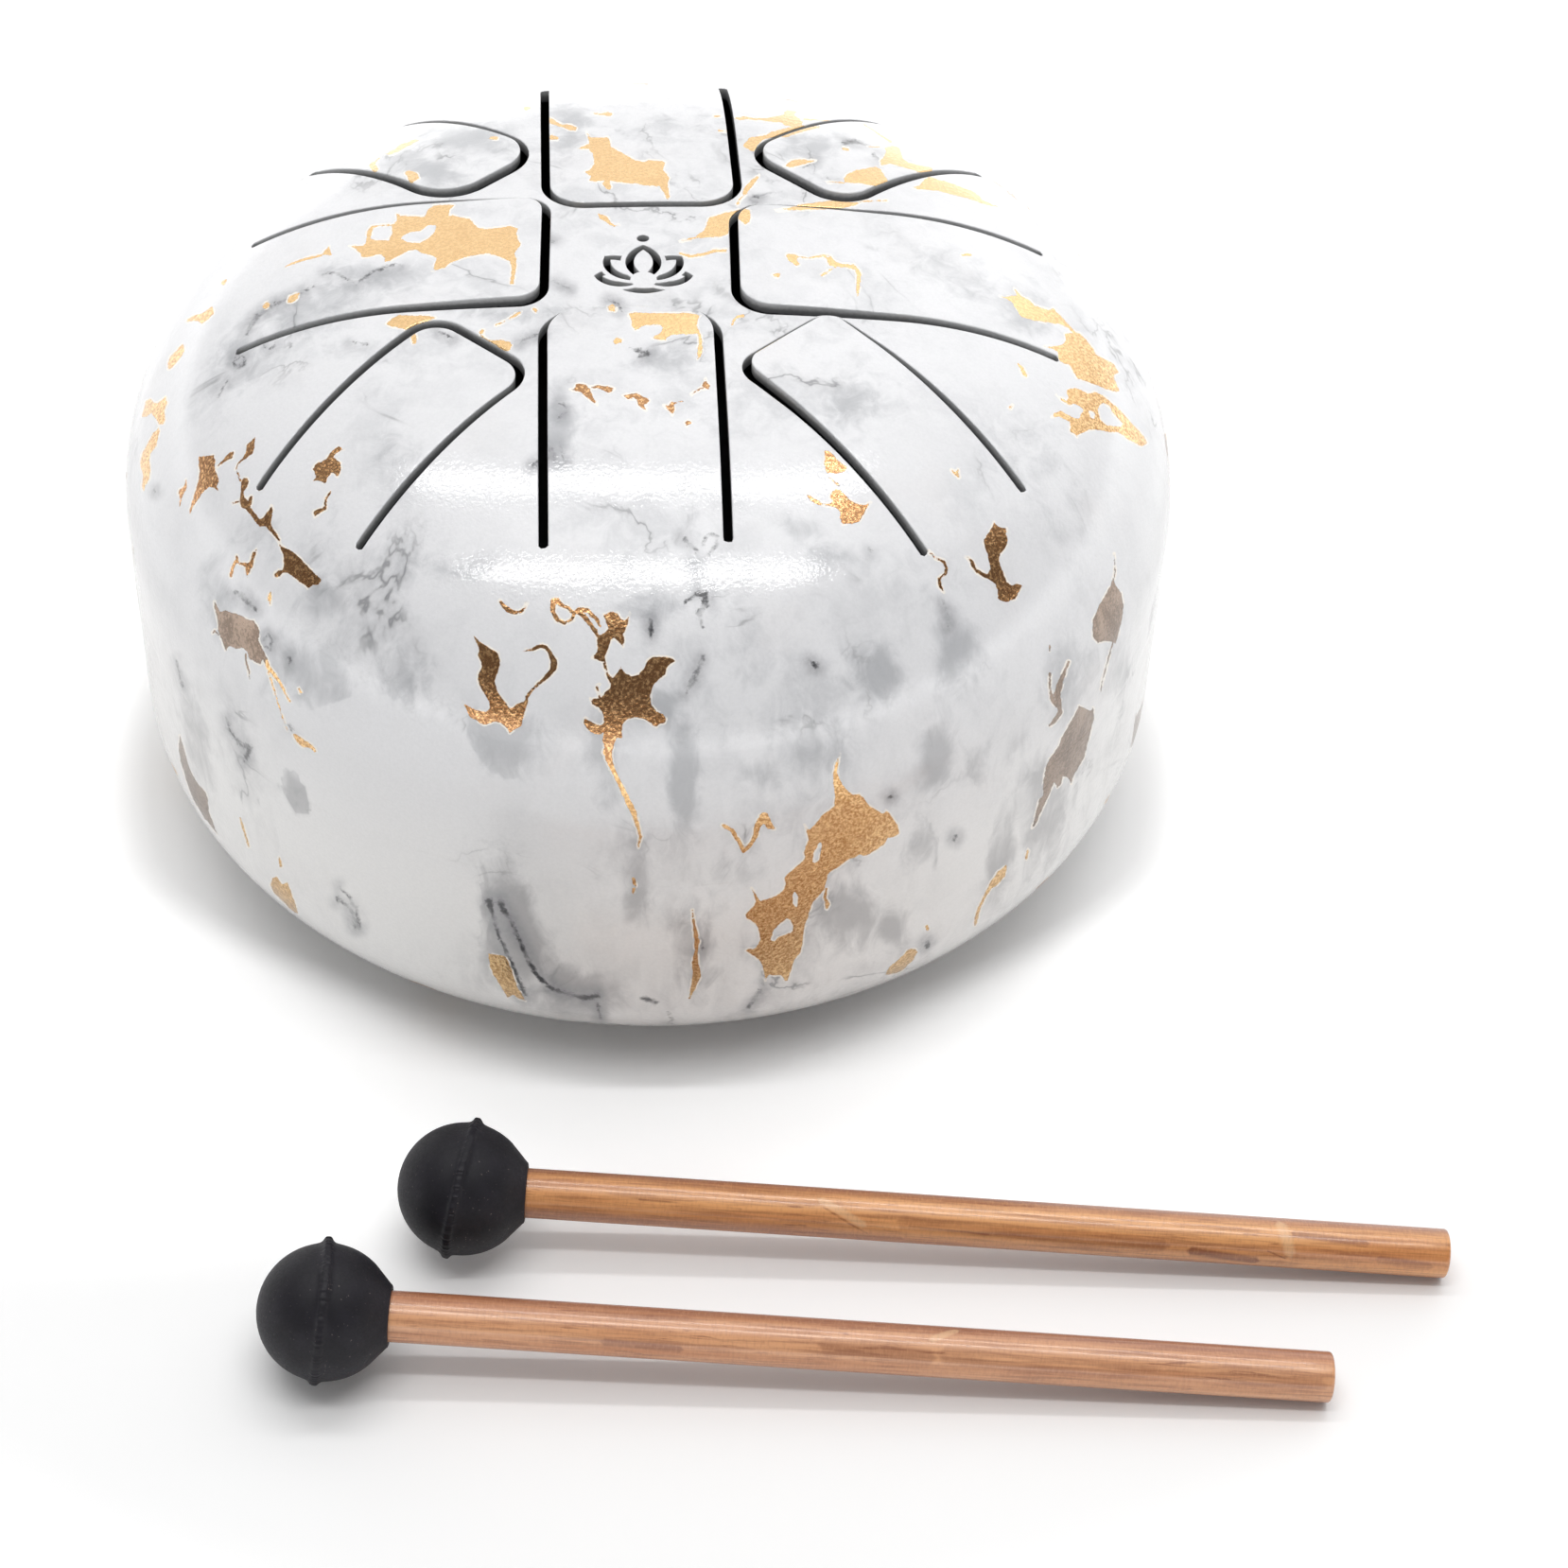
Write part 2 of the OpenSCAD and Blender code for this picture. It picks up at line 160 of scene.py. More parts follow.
# Grey clouds: place in pixels, half width and half height, lean in degrees, depth. Below 0 it is clear.
GREY_CLOUDS = (
    (534, 785, 40, 34, 0, 0.75), (723, 822, 16, 66, 0, 0.8), (929, 712, 30, 26, 20, 0.8),
    (886, 770, 16, 14, 0, 0.4), (989, 798, 18, 32, 5, 0.8), (1034, 805, 17, 27, 0, 0.5),
    (329, 709, 46, 40, 0, 0.6), (342, 636, 28, 26, 0, 0.6), (316, 842, 17, 36, -25, 0.8),
    (428, 719, 32, 28, 0, 0.5), (888, 964, 32, 34, 0, 0.8), (974, 894, 26, 28, 0, 0.5),
    (942, 983, 18, 24, 0, 0.6), (700, 745, 26, 20, 0, 0.7), (815, 820, 30, 22, 10, 0.55),
    (640, 800, 20, 60, 0, 0.5), (542, 985, 30, 66, -20, 1.0), (600, 1045, 50, 22, 15, 0.6),
    (675, 930, 14, 46, 0, 0.7), (735, 1000, 26, 60, 0, 0.55), (1125, 735, 22, 60, 8, 0.5),
    (1060, 900, 16, 60, 12, 0.6), (1180, 700, 16, 60, 0, 0.5), (230, 640, 22, 60, 0, 0.5),
    (205, 780, 16, 60, -12, 0.6), (270, 560, 40, 26, 30, 0.4), (590, 455, 16, 40, 0, 0.8),
    (735, 600, 16, 46, 0, 0.6), (880, 585, 30, 18, 0, 0.4), (385, 290, 50, 16, 8, 0.5),
    (330, 330, 60, 18, -30, 0.6), (260, 380, 30, 40, 30, 0.5), (700, 380, 46, 14, 0, 0.35),
    (900, 425, 26, 30, 0, 0.45), (1010, 290, 60, 24, 20, 0.35), (1090, 330, 26, 40, -30, 0.5),
    (600, 130, 24, 34, 0, 0.5), (720, 130, 40, 14, 0, 0.4), (500, 150, 60, 22, 10, 0.6),
    (450, 180, 40, 18, 20, 0.6), (860, 150, 40, 14, 0, 0.6), (960, 165, 50, 14, 10, 0.5),
    (540, 330, 60, 10, 0, 0.5), (400, 850, 110, 90, 0, -0.9), (430, 950, 90, 50, 0, -0.8),
    (590, 890, 40, 50, 0, -0.6), (640, 300, 50, 30, 0, -0.6), (1015, 880, 30, 60, 0, -0.5),
    (480, 520, 50, 40, 0, -0.5), (300, 450, 50, 60, 0, -0.5), (960, 500, 50, 50, 0, -0.5),
    (850, 800, 40, 36, 0, 0.6), (1100, 850, 34, 64, 0, 0.6), (700, 640, 40, 18, 0, 0.5),
    (1010, 690, 30, 40, 10, 0.45), (850, 560, 40, 12, 20, 0.35), (480, 600, 60, 16, 0, 0.4),
    (1070, 480, 30, 20, 0, 0.3), (420, 480, 30, 24, -30, 0.35),
)

# Gold leaf, as outlines in pixels of the photograph: x and y of each corner in turn.
GOLD_PATCHES = {
    "crook": (501, 672, 508, 679, 526, 690, 529, 698, 528, 707, 525, 713, 523, 720, 526, 731, 539, 749,
        542, 748, 547, 744, 554, 742, 558, 735, 559, 740, 553, 760, 551, 768, 539, 775, 535, 769, 529, 764,
        523, 763, 512, 767, 497, 758, 490, 745, 489, 742, 494, 746, 499, 749, 514, 753, 518, 749, 517, 742,
        508, 727, 505, 718, 506, 711, 510, 705, 508, 698, 505, 693, 507, 687, 504, 681),
    "upper_blob": (638, 650, 646, 647, 653, 648, 656, 654, 661, 656, 666, 648, 664, 660, 659, 671, 660, 676,
        659, 684, 650, 675, 646, 676, 643, 687, 637, 700, 626, 695, 630, 691, 632, 684, 631, 676, 634, 671,
        639, 669, 643, 665, 641, 658),
    "main_blob": (647, 720, 652, 711, 657, 705, 660, 711, 668, 715, 675, 713, 681, 707, 685, 698, 690, 695,
        697, 694, 711, 696, 714, 699, 706, 705, 703, 713, 692, 723, 687, 736, 689, 745, 694, 752, 701, 755,
        705, 760, 703, 765, 698, 765, 694, 769, 681, 760, 672, 758, 664, 760, 659, 765, 657, 775, 660, 782,
        652, 780, 647, 796, 648, 804, 646, 805, 642, 803, 637, 796, 639, 789, 637, 782, 638, 775, 635, 777,
        626, 775, 620, 770, 617, 764, 618, 758, 628, 765, 635, 767, 639, 764, 638, 756, 634, 749, 626, 745,
        624, 738, 634, 739, 645, 727),
    "low_orange": (516, 1008, 534, 1011, 539, 1020, 546, 1042, 556, 1058, 548, 1056, 543, 1051, 537, 1055,
        523, 1033, 518, 1022),
    "diagonal": (888, 797, 885, 817, 893, 833, 901, 840, 909, 840, 914, 844, 918, 851, 934, 861, 937, 857,
        941, 860, 949, 872, 951, 881, 946, 885, 939, 886, 936, 892, 920, 903, 913, 905, 909, 903, 904, 907,
        895, 910, 888, 916, 882, 919, 876, 924, 872, 940, 859, 955, 850, 983, 849, 996, 847, 1006,
        840, 1015, 832, 1039, 826, 1031, 813, 1031, 809, 1037, 808, 1028, 805, 1018, 799, 1012, 788, 1005,
        791, 1003, 796, 1004, 801, 999, 804, 993, 802, 983, 799, 977, 789, 970, 788, 967, 797, 958,
        799, 953, 795, 939, 804, 953, 821, 947, 828, 942, 831, 935, 829, 929, 834, 923, 848, 911, 851, 907,
        850, 900, 855, 888, 851, 872, 855, 878, 859, 875, 869, 862, 877, 857, 882, 852, 883, 845, 881, 827,
        881, 817, 883, 808),
    "low_right_orange": (942, 1021, 955, 1010, 960, 1004, 968, 1003, 970, 1007, 966, 1015, 960, 1020,
        955, 1026, 947, 1029, 936, 1031, 938, 1026),
    "right_pink": (1177, 614, 1186, 628, 1188, 640, 1187, 653, 1180, 681, 1173, 678, 1167, 678, 1161, 680,
        1156, 674, 1155, 666, 1156, 655, 1163, 638, 1168, 631, 1172, 623),
    "right_mauve": (1141, 746, 1154, 752, 1156, 748, 1157, 760, 1146, 802, 1135, 821, 1133, 829, 1129, 822,
        1124, 821, 1122, 829, 1118, 833, 1115, 827, 1094, 874, 1091, 876, 1099, 846, 1103, 841, 1103, 829,
        1105, 815, 1108, 805, 1118, 791, 1124, 777, 1136, 757),
    "right_hook": (1051, 552, 1056, 557, 1065, 559, 1064, 564, 1066, 573, 1063, 579, 1058, 585, 1056, 592,
        1062, 609, 1065, 616, 1070, 619, 1075, 617, 1081, 619, 1074, 633, 1065, 637, 1060, 636, 1055, 633,
        1055, 624, 1051, 616, 1039, 610, 1032, 605, 1027, 599, 1025, 593, 1020, 588, 1024, 589, 1029, 593,
        1032, 600, 1039, 605, 1044, 607, 1047, 602, 1044, 585, 1041, 578, 1040, 571, 1048, 559),
    "under_slit": (872, 476, 877, 477, 888, 488, 896, 495, 891, 500, 886, 501, 879, 500, 874, 501,
        872, 492),
    "bat": (852, 521, 869, 532, 877, 533, 881, 530, 877, 526, 879, 521, 883, 517, 888, 517, 898, 528,
        907, 533, 915, 534, 922, 530, 917, 536, 914, 543, 908, 552, 900, 554, 891, 554, 888, 548, 889, 542,
        883, 536, 865, 534, 858, 530, 853, 524),
    "left_leaf": (284, 560, 289, 562, 294, 567, 296, 573, 299, 578, 306, 581, 312, 585, 340, 613, 336, 619,
        331, 618, 326, 622, 309, 609, 304, 606, 299, 606, 296, 610, 290, 610, 290, 606, 294, 603, 300, 602,
        300, 588, 292, 568, 286, 563),
    "left_tan": (226, 634, 233, 647, 239, 645, 246, 648, 254, 650, 261, 655, 268, 656, 273, 663, 275, 669,
        273, 676, 281, 693, 278, 696, 276, 703, 264, 697, 261, 689, 256, 685, 249, 686, 244, 683, 241, 685,
        239, 689, 233, 673, 230, 666, 231, 660, 227, 643),
    "left_low_pink": (190, 777, 193, 786, 200, 812, 210, 830, 217, 837, 220, 845, 221, 859, 230, 882,
        216, 865, 208, 852, 200, 835, 191, 805, 189, 792),
    "left_low_orange": (288, 928, 293, 927, 298, 935, 304, 933, 312, 955, 316, 967, 309, 963, 289, 943,
        286, 936),
    "edge_1": (197, 338, 201, 336, 204, 334, 215, 331, 224, 323, 226, 327, 226, 332, 214, 343, 210, 340,
        204, 339, 198, 341),
    "edge_2": (177, 384, 180, 377, 194, 363, 195, 371, 192, 377, 182, 389, 178, 391),
    "edge_3": (150, 441, 154, 424, 159, 421, 163, 426, 167, 426, 175, 419, 177, 426, 174, 434, 175, 443,
        173, 448, 168, 449, 165, 443, 160, 437, 154, 441),
    "edge_4": (168, 452, 169, 456, 165, 472, 159, 480, 158, 487, 159, 498, 158, 507, 154, 513, 152, 520,
        150, 515, 151, 502, 148, 491, 150, 480, 162, 458),
    "shoulder_1": (210, 483, 226, 481, 228, 487, 227, 495, 232, 508, 229, 514, 231, 520, 227, 516, 221, 515,
        216, 519, 206, 533, 201, 544, 200, 541, 210, 507, 211, 498, 210, 491),
    "tongue_fl": (355, 473, 359, 472, 365, 475, 360, 476, 352, 483, 360, 489, 361, 496, 357, 505, 353, 500,
        350, 500, 346, 506, 344, 513, 340, 509, 335, 508, 330, 509, 334, 505, 331, 496, 333, 491, 345, 485,
        351, 476),
    "edge_0": (210, 284, 204, 291, 170, 350, 167, 358, 165, 356, 201, 291, 207, 284),
    "fleck_l": (304, 318, 306, 313, 317, 309, 314, 317, 308, 320, 304, 320),
    "tongue_l": (369, 260, 376, 263, 381, 268, 383, 272, 390, 272, 397, 269, 403, 269, 407, 273, 406, 277,
        412, 276, 432, 265, 439, 264, 447, 268, 457, 270, 462, 273, 457, 287, 471, 283, 474, 279, 491, 272,
        514, 268, 524, 270, 539, 276, 541, 283, 539, 302, 543, 302, 546, 283, 546, 273, 544, 268, 551, 258,
        548, 254, 546, 247, 548, 241, 539, 239, 516, 242, 506, 241, 495, 230, 487, 230, 480, 227, 474, 229,
        476, 221, 481, 217, 470, 216, 459, 217, 453, 221, 449, 229, 424, 228, 419, 225, 420, 233, 416, 237,
        397, 238, 391, 240, 388, 246, 387, 256, 384, 260, 376, 260),
    "tongue_l_west": (339, 270, 348, 260, 351, 270, 341, 270),
    "tongue_bl": (444, 148, 422, 160, 413, 164, 407, 163, 417, 158, 424, 152, 432, 150, 438, 147),
    "tongue_bl_3": (427, 182, 434, 180, 441, 183, 444, 189, 439, 191, 436, 194, 432, 193, 431, 187),
    "tongue_b": (620, 139, 624, 145, 643, 145, 645, 149, 646, 155, 673, 170, 682, 171, 686, 169, 694, 170,
        701, 170, 704, 172, 701, 179, 708, 188, 706, 194, 708, 207, 706, 214, 703, 205, 697, 197, 681, 196,
        673, 194, 664, 194, 644, 191, 647, 197, 645, 202, 640, 199, 637, 194, 639, 191, 629, 192, 623, 191,
        625, 186, 618, 182, 624, 179, 628, 174, 628, 169, 626, 162, 623, 158, 610, 157, 623, 152, 622, 146),
    "tongue_b_2": (625, 119, 636, 120, 643, 118, 648, 120, 646, 123, 630, 121),
    "back_1": (775, 125, 786, 123, 797, 125, 808, 125, 829, 121, 829, 118, 834, 116, 843, 118, 840, 121,
        849, 129, 847, 134, 830, 133, 827, 130, 793, 126, 782, 127),
    "back_2": (786, 153, 792, 146, 799, 144, 810, 143, 816, 139, 836, 134, 871, 133, 843, 141, 832, 145,
        819, 145, 808, 147, 803, 151, 797, 161, 786, 155),
    "tongue_br": (829, 176, 836, 170, 845, 168, 864, 170, 845, 175, 836, 177),
    "centre_right": (736, 249, 744, 244, 747, 238, 749, 231, 766, 225, 786, 221, 793, 222, 794, 229,
        792, 238, 786, 237, 782, 232, 772, 238, 770, 247, 764, 250, 738, 252),
    "centre_right_4": (784, 205, 788, 197, 795, 190, 803, 185, 801, 190, 790, 204),
    "tongue_r_1": (831, 269, 836, 268, 844, 270, 843, 275, 846, 280, 843, 282, 833, 275),
    "tongue_r_4": (874, 273, 879, 270, 881, 275, 887, 278, 904, 280, 911, 289, 908, 313, 905, 314, 906, 291,
        904, 285, 896, 283, 881, 282, 876, 280),
    "tongue_br_2": (935, 156, 944, 154, 951, 156, 955, 168, 961, 172, 986, 177, 986, 182, 979, 183,
        971, 182, 942, 173, 931, 175, 931, 170, 935, 165, 937, 160),
    "tongue_br_4": (892, 189, 896, 184, 904, 180, 926, 176, 931, 179, 940, 193, 937, 197, 920, 196,
        911, 194, 893, 193),
    "back_right": (848, 216, 887, 211, 894, 213, 905, 214, 913, 212, 905, 217, 887, 221, 817, 223,
        832, 220),
    "back_right_3": (965, 198, 972, 196, 978, 189, 983, 187, 1004, 193, 1026, 201, 1035, 206, 1040, 212,
        1057, 219, 1046, 218, 1024, 210, 992, 202, 970, 200),
    "back_right_4": (844, 132, 867, 135, 844, 140),
    "front_1": (664, 332, 673, 330, 682, 331, 731, 331, 741, 333, 738, 338, 737, 344, 742, 357, 743, 368,
        742, 375, 738, 381, 737, 374, 739, 359, 738, 353, 710, 354, 705, 357, 703, 362, 700, 360, 694, 359,
        684, 354, 690, 355, 695, 354, 699, 351, 701, 346, 697, 343, 681, 344, 672, 350, 668, 344, 668, 338),
    "front_2": (639, 327, 648, 321, 653, 326, 652, 330, 645, 329),
    "front_3": (648, 360, 653, 356, 658, 360, 658, 363, 654, 363, 651, 366, 649, 363),
    "front_4": (602, 412, 608, 411, 609, 406, 614, 405, 620, 407, 623, 411, 632, 429, 614, 415, 607, 413),
    "front_6": (659, 418, 673, 415, 677, 418, 684, 421, 687, 424, 684, 427, 681, 428, 684, 435, 675, 429,
        674, 424, 670, 420, 664, 422),
    "front_7": (701, 428, 707, 429, 710, 424, 713, 426, 713, 435, 711, 439, 704, 431),
    "front_9": (742, 409, 746, 400, 747, 404, 751, 408, 749, 412, 745, 410),
    "front_10": (724, 447, 728, 444, 732, 447, 726, 451),
    "right_1": (1057, 313, 1064, 314, 1070, 312, 1075, 313, 1072, 304, 1081, 314, 1087, 316, 1094, 323,
        1110, 328, 1113, 325, 1132, 345, 1137, 351, 1143, 353, 1155, 367, 1159, 375, 1177, 384, 1183, 394,
        1177, 397, 1184, 414, 1177, 414, 1153, 405, 1139, 400, 1131, 386, 1124, 384, 1120, 381, 1118, 371,
        1104, 366, 1115, 366, 1124, 364, 1127, 359, 1126, 353, 1134, 352, 1129, 347, 1121, 343, 1094, 339,
        1080, 335, 1070, 320, 1064, 316),
    "right_2": (1128, 412, 1136, 410, 1143, 412, 1151, 416, 1158, 414, 1166, 418, 1182, 431, 1210, 462,
        1213, 469, 1207, 472, 1193, 465, 1188, 460, 1180, 457, 1172, 457, 1158, 454, 1151, 455, 1140, 460,
        1139, 463, 1137, 459, 1131, 456, 1132, 451, 1131, 446, 1120, 441, 1112, 441, 1114, 437, 1121, 434,
        1136, 442, 1141, 442, 1146, 433, 1142, 430, 1136, 427, 1131, 429, 1121, 422, 1117, 417, 1128, 424,
        1130, 420, 1128, 416),
    "slit_fl_1": (408, 342, 415, 336, 422, 333, 455, 334, 461, 336, 436, 346, 430, 349, 413, 345),
    "slit_fl_2": (434, 351, 439, 351, 441, 359, 439, 364, 436, 363, 435, 358),
    "slit_fl_3": (507, 351, 509, 348, 512, 349, 511, 355, 518, 360, 528, 359, 539, 361, 541, 365, 539, 371,
        531, 371, 524, 365, 508, 356),
}

# Places within those where the marble shows.
GOLD_HOLES = (
    (859, 911, 860, 903, 866, 891, 869, 892, 866, 910, 862, 913),
    (839, 956, 838, 948, 840, 943, 844, 948, 843, 956, 842, 960),
    (815, 994, 818, 983, 832, 971, 836, 973, 839, 980, 837, 986, 823, 991, 819, 996),
    (394, 242, 401, 239, 414, 239, 415, 246, 411, 254, 397, 254, 392, 252),
    (423, 252, 432, 246, 445, 244, 453, 238, 462, 238, 459, 246, 453, 252, 443, 257, 432, 256),
    (1161, 433, 1163, 428, 1167, 426, 1173, 429, 1177, 437, 1187, 448, 1185, 451, 1169, 449, 1163, 443),
    (1151, 435, 1154, 434, 1158, 437, 1157, 443, 1153, 441),
)

# Thin gold: x, y and half width, in pixels, at each point along its middle.
GOLD_THREADS = {
    "crook_arm": (557, 737, 1.8, 563, 729, 1.5, 572, 721, 1.8, 579, 715, 2.5, 585, 707, 3.3, 586, 700, 3.6,
        582, 691, 2.2, 577, 684, 1.8, 570, 683, 2.2, 563, 687, 1.8, 555, 688, 1.1, 550, 691, 0.7),
    "fleck_top": (529, 636, 1.5, 537, 645, 2.9, 545, 648, 1.8, 551, 647, 1.8, 555, 642, 1.1, 557, 636, 1.1),
    "ring_left": (585, 636, 2.9, 584, 645, 2.5, 589, 655, 2.5, 597, 659, 1.5, 605, 655, 1.8, 607, 649, 1.8,
        601, 643, 1.5, 593, 639, 2.2, 589, 635, 3.3),
    "ring_link": (607, 649, 1.8, 612, 644, 2.2, 621, 645, 2.5, 632, 656, 2.2, 635, 663, 1.5),
    "ring_link_2": (611, 648, 1.5, 617, 651, 2.5, 628, 665, 2.5, 632, 672, 1.8),
    "neck": (638, 696, 1.8, 640, 705, 1.5, 643, 715, 1.5, 647, 721, 2.2),
    "curl": (635, 738, 1.1, 632, 731, 1.1, 631, 725, 1.1, 634, 723, 0.7),
    "tail": (643, 802, 3.3, 652, 822, 2.2, 666, 851, 3.3, 671, 862, 2.9, 675, 875, 1.8, 677, 885, 1.5,
        675, 896, 0.7),
    "tail_dot": (670, 929, 1.8, 671, 936, 2.2, 669, 945, 1.1),
    "vee": (765, 873, 1.8, 774, 878, 2.2, 781, 889, 2.2, 786, 900, 2.2, 792, 895, 2.2, 799, 884, 2.5,
        801, 873, 3.3, 808, 864, 5.1, 814, 873, 3.6, 819, 876, 1.1),
    "drip": (732, 962, 0.7, 734, 978, 1.5, 737, 995, 2.9, 736, 1007, 1.8, 735, 1018, 3.3, 737, 1031, 4.7,
        733, 1044, 2.5, 729, 1056, 1.1),
    "diagonal_spur": (874, 940, 1.6, 872, 948, 1.6, 875, 956, 2.2, 874, 960, 1.3),
    "low_right": (1064, 916, 1.3, 1059, 924, 4.5, 1051, 934, 3.8, 1046, 939, 1.9, 1041, 948, 1.3,
        1035, 961, 1.6, 1032, 972, 1.9, 1031, 978, 1),
    "low_right_dot": (1087, 899, 1, 1085, 907, 1.6),
    "low_right_dot_2": (980, 980, 1.9, 981, 983, 1.3),
    "right_pink_up": (1177, 616, 1, 1179, 605, 0.7, 1178, 585, 0.3),
    "right_pink_down": (1177, 678, 1, 1165, 722, 0.7, 1164, 731, 0.3),
    "right_fork": (1130, 700, 1.4, 1127, 707, 1.4, 1122, 719, 2.8, 1118, 733, 3.4, 1121, 753, 2.4,
        1115, 762, 2.4, 1110, 767, 1.4),
    "right_fork_2": (1110, 712, 1.4, 1110, 726, 1, 1113, 740, 2.4, 1117, 746, 2.1),
    "right_fork_dot": (1110, 683, 1.4, 1110, 688, 0.7),
    "slit_thread": (982, 583, 1, 989, 590, 1, 997, 593, 1.7, 1001, 600, 1.7, 1000, 607, 1.4, 993, 612, 1.7,
        994, 619, 1.7, 998, 626, 1),
    "under_slit_dots": (877, 505, 1, 888, 514, 1),
    "fleck_fr": (1013, 497, 1, 1012, 501, 1.7, 1014, 505, 1),
    "left_h": (244, 610, 1, 246, 600, 1.7, 250, 593, 1.7, 254, 596, 1.3, 264, 598, 3.3, 267, 592, 2,
        269, 585, 1.7, 272, 580, 0.7),
    "left_h_2": (250, 588, 1, 251, 593, 1.7),
    "left_h_3": (263, 598, 2.7, 262, 605, 2.3, 261, 610, 0.7),
    "left_tan_hook": (225, 669, 1, 227, 667, 1, 231, 671, 1),
    "left_tan_drip": (260, 691, 1, 260, 699, 1, 263, 709, 1, 264, 718, 0.3),
    "left_tail": (280, 696, 2.7, 284, 706, 2, 296, 721, 1.7, 301, 732, 1, 307, 742, 0.7),
    "left_tail_2": (284, 711, 1, 299, 759, 0.7, 304, 772, 0.7),
    "left_yellow": (311, 777, 1.3, 316, 782, 3.3, 322, 787, 3.6, 329, 789, 2, 333, 794, 1.3),
    "left_dot": (316, 728, 1, 318, 732, 1.3),
    "left_dot_2": (286, 626, 1, 285, 633, 2, 286, 639, 1),
    "left_low_dot": (295, 907, 0.7, 297, 915, 2),
    "left_low_thread": (254, 865, 1, 258, 878, 1.3, 263, 895, 1),
    "shoulder_1_arm": (230, 493, 0.4, 238, 486, 1.5, 243, 482, 3.3, 246, 478, 1.5),
    "shoulder_2": (270, 462, 0.6, 265, 472, 4.1, 264, 477, 3.7, 260, 483, 2.2, 256, 486, 0.9, 251, 492, 0.7,
        250, 497, 0.9, 254, 508, 1.3),
    "shoulder_3": (259, 509, 4.1, 258, 514, 3.3, 256, 520, 1.5, 256, 527, 2.6, 259, 533, 4.8, 263, 538, 2.6,
        271, 549, 2.6, 276, 553, 4.1, 282, 551, 5.2, 287, 538, 1.8, 287, 535, 0.7),
    "shoulder_3_arm": (255, 530, 1.1, 246, 532, 1.1),
    "shoulder_3_up": (265, 526, 1.8, 264, 533, 1.8),
    "shoulder_3_down": (284, 556, 3, 291, 565, 1.8, 295, 570, 1.5),
    "shoulder_dark": (197, 507, 0.7, 196, 515, 1.5, 192, 520, 3.3, 191, 528, 1.1, 190, 536, 0.6),
    "tongue_fl_tail": (350, 520, 0.9, 345, 526, 1.1, 344, 532, 1.3, 344, 538, 1.5, 334, 542, 2.6,
        333, 546, 0.9),
    "fleck_l2": (280, 324, 2.6, 283, 322, 2.6),
    "fleck_l3": (236, 299, 2.6, 239, 296, 1.1),
    "tongue_l_thread": (339, 270, 1.1, 319, 275, 1.5, 301, 282, 0.7),
    "tongue_bl_2": (401, 167, 1, 397, 171, 1.1, 394, 175, 3.4, 397, 179, 3.1),
    "fleck_b1": (556, 115, 2.3, 560, 114, 1.1),
    "fleck_b2": (519, 146, 1.5, 525, 146, 1.9),
    "tongue_b_west": (581, 127, 2.7, 587, 130, 2.3, 594, 133, 1.3, 604, 135, 3.1, 608, 136, 1.9),
    "tongue_b_west_2": (583, 145, 2.7, 589, 146, 1.9),
    "tongue_b_3": (755, 123, 0.7, 762, 123, 0.7),
    "tongue_b_4": (760, 138, 0.9, 768, 139, 0.9),
    "centre_right_2": (719, 255, 0.6, 738, 251, 1.1),
    "centre_right_3": (719, 268, 0.9, 731, 271, 1.7, 744, 269, 1.7, 756, 265, 1.5, 768, 265, 1.5),
    "centre_right_5": (780, 216, 1.3, 782, 211, 1.1, 790, 204, 0.9),
    "centre_left": (633, 226, 0.9, 636, 229, 2.6, 641, 232, 2.6, 645, 236, 1.5, 649, 239, 1.1,
        654, 238, 0.9),
    "tongue_r_2": (844, 271, 0.7, 854, 273, 0.9, 875, 270, 0.9),
    "tongue_r_3": (817, 291, 0.9, 822, 291, 2.6, 825, 289, 0.9),
    "tongue_r_5": (850, 273, 0.6, 870, 270, 0.7, 875, 273, 0.9),
    "tongue_r_6": (887, 281, 0.7, 878, 285, 0.9, 870, 291, 1.5, 867, 292, 0.9),
    "tongue_r_7": (1017, 270, 0.9, 1023, 269, 1.5, 1027, 270, 0.7),
    "tongue_br_3": (918, 155, 0.7, 931, 155, 0.7),
    "tongue_br_5": (892, 193, 0.9, 868, 193, 0.6),
    "back_right_2": (913, 213, 0.9, 928, 212, 0.7, 938, 212, 0.6),
    "back_right_5": (850, 126, 1.1, 878, 128, 0.6),
    "back_right_6": (913, 131, 0.7, 942, 150, 1.3),
    "tongue_br_6": (892, 157, 1.5, 896, 158, 1.8),
    "front_5": (625, 410, 1.1, 633, 409, 1.5, 644, 412, 3.3, 649, 411, 0.9),
    "front_8": (713, 426, 0.7, 725, 424, 0.6, 732, 416, 0.6, 743, 410, 1.1),
    "front_11": (774, 344, 1.1, 776, 338, 1.3, 780, 335, 1.5, 786, 334, 1.7),
    "right_3": (1076, 384, 0.8, 1080, 389, 1.9, 1083, 395, 2.2, 1085, 398, 1),
    "right_4": (1068, 431, 1.3, 1070, 429, 1.1),
    "right_5": (1006, 497, 0.5, 1010, 501, 1.3, 1014, 504, 1),
    "slit_fl_4": (524, 344, 0.6, 537, 338, 0.8, 547, 332, 1.5, 550, 330, 1.1),
    "slit_fl_5": (565, 327, 1.9, 567, 329, 1.5),
}

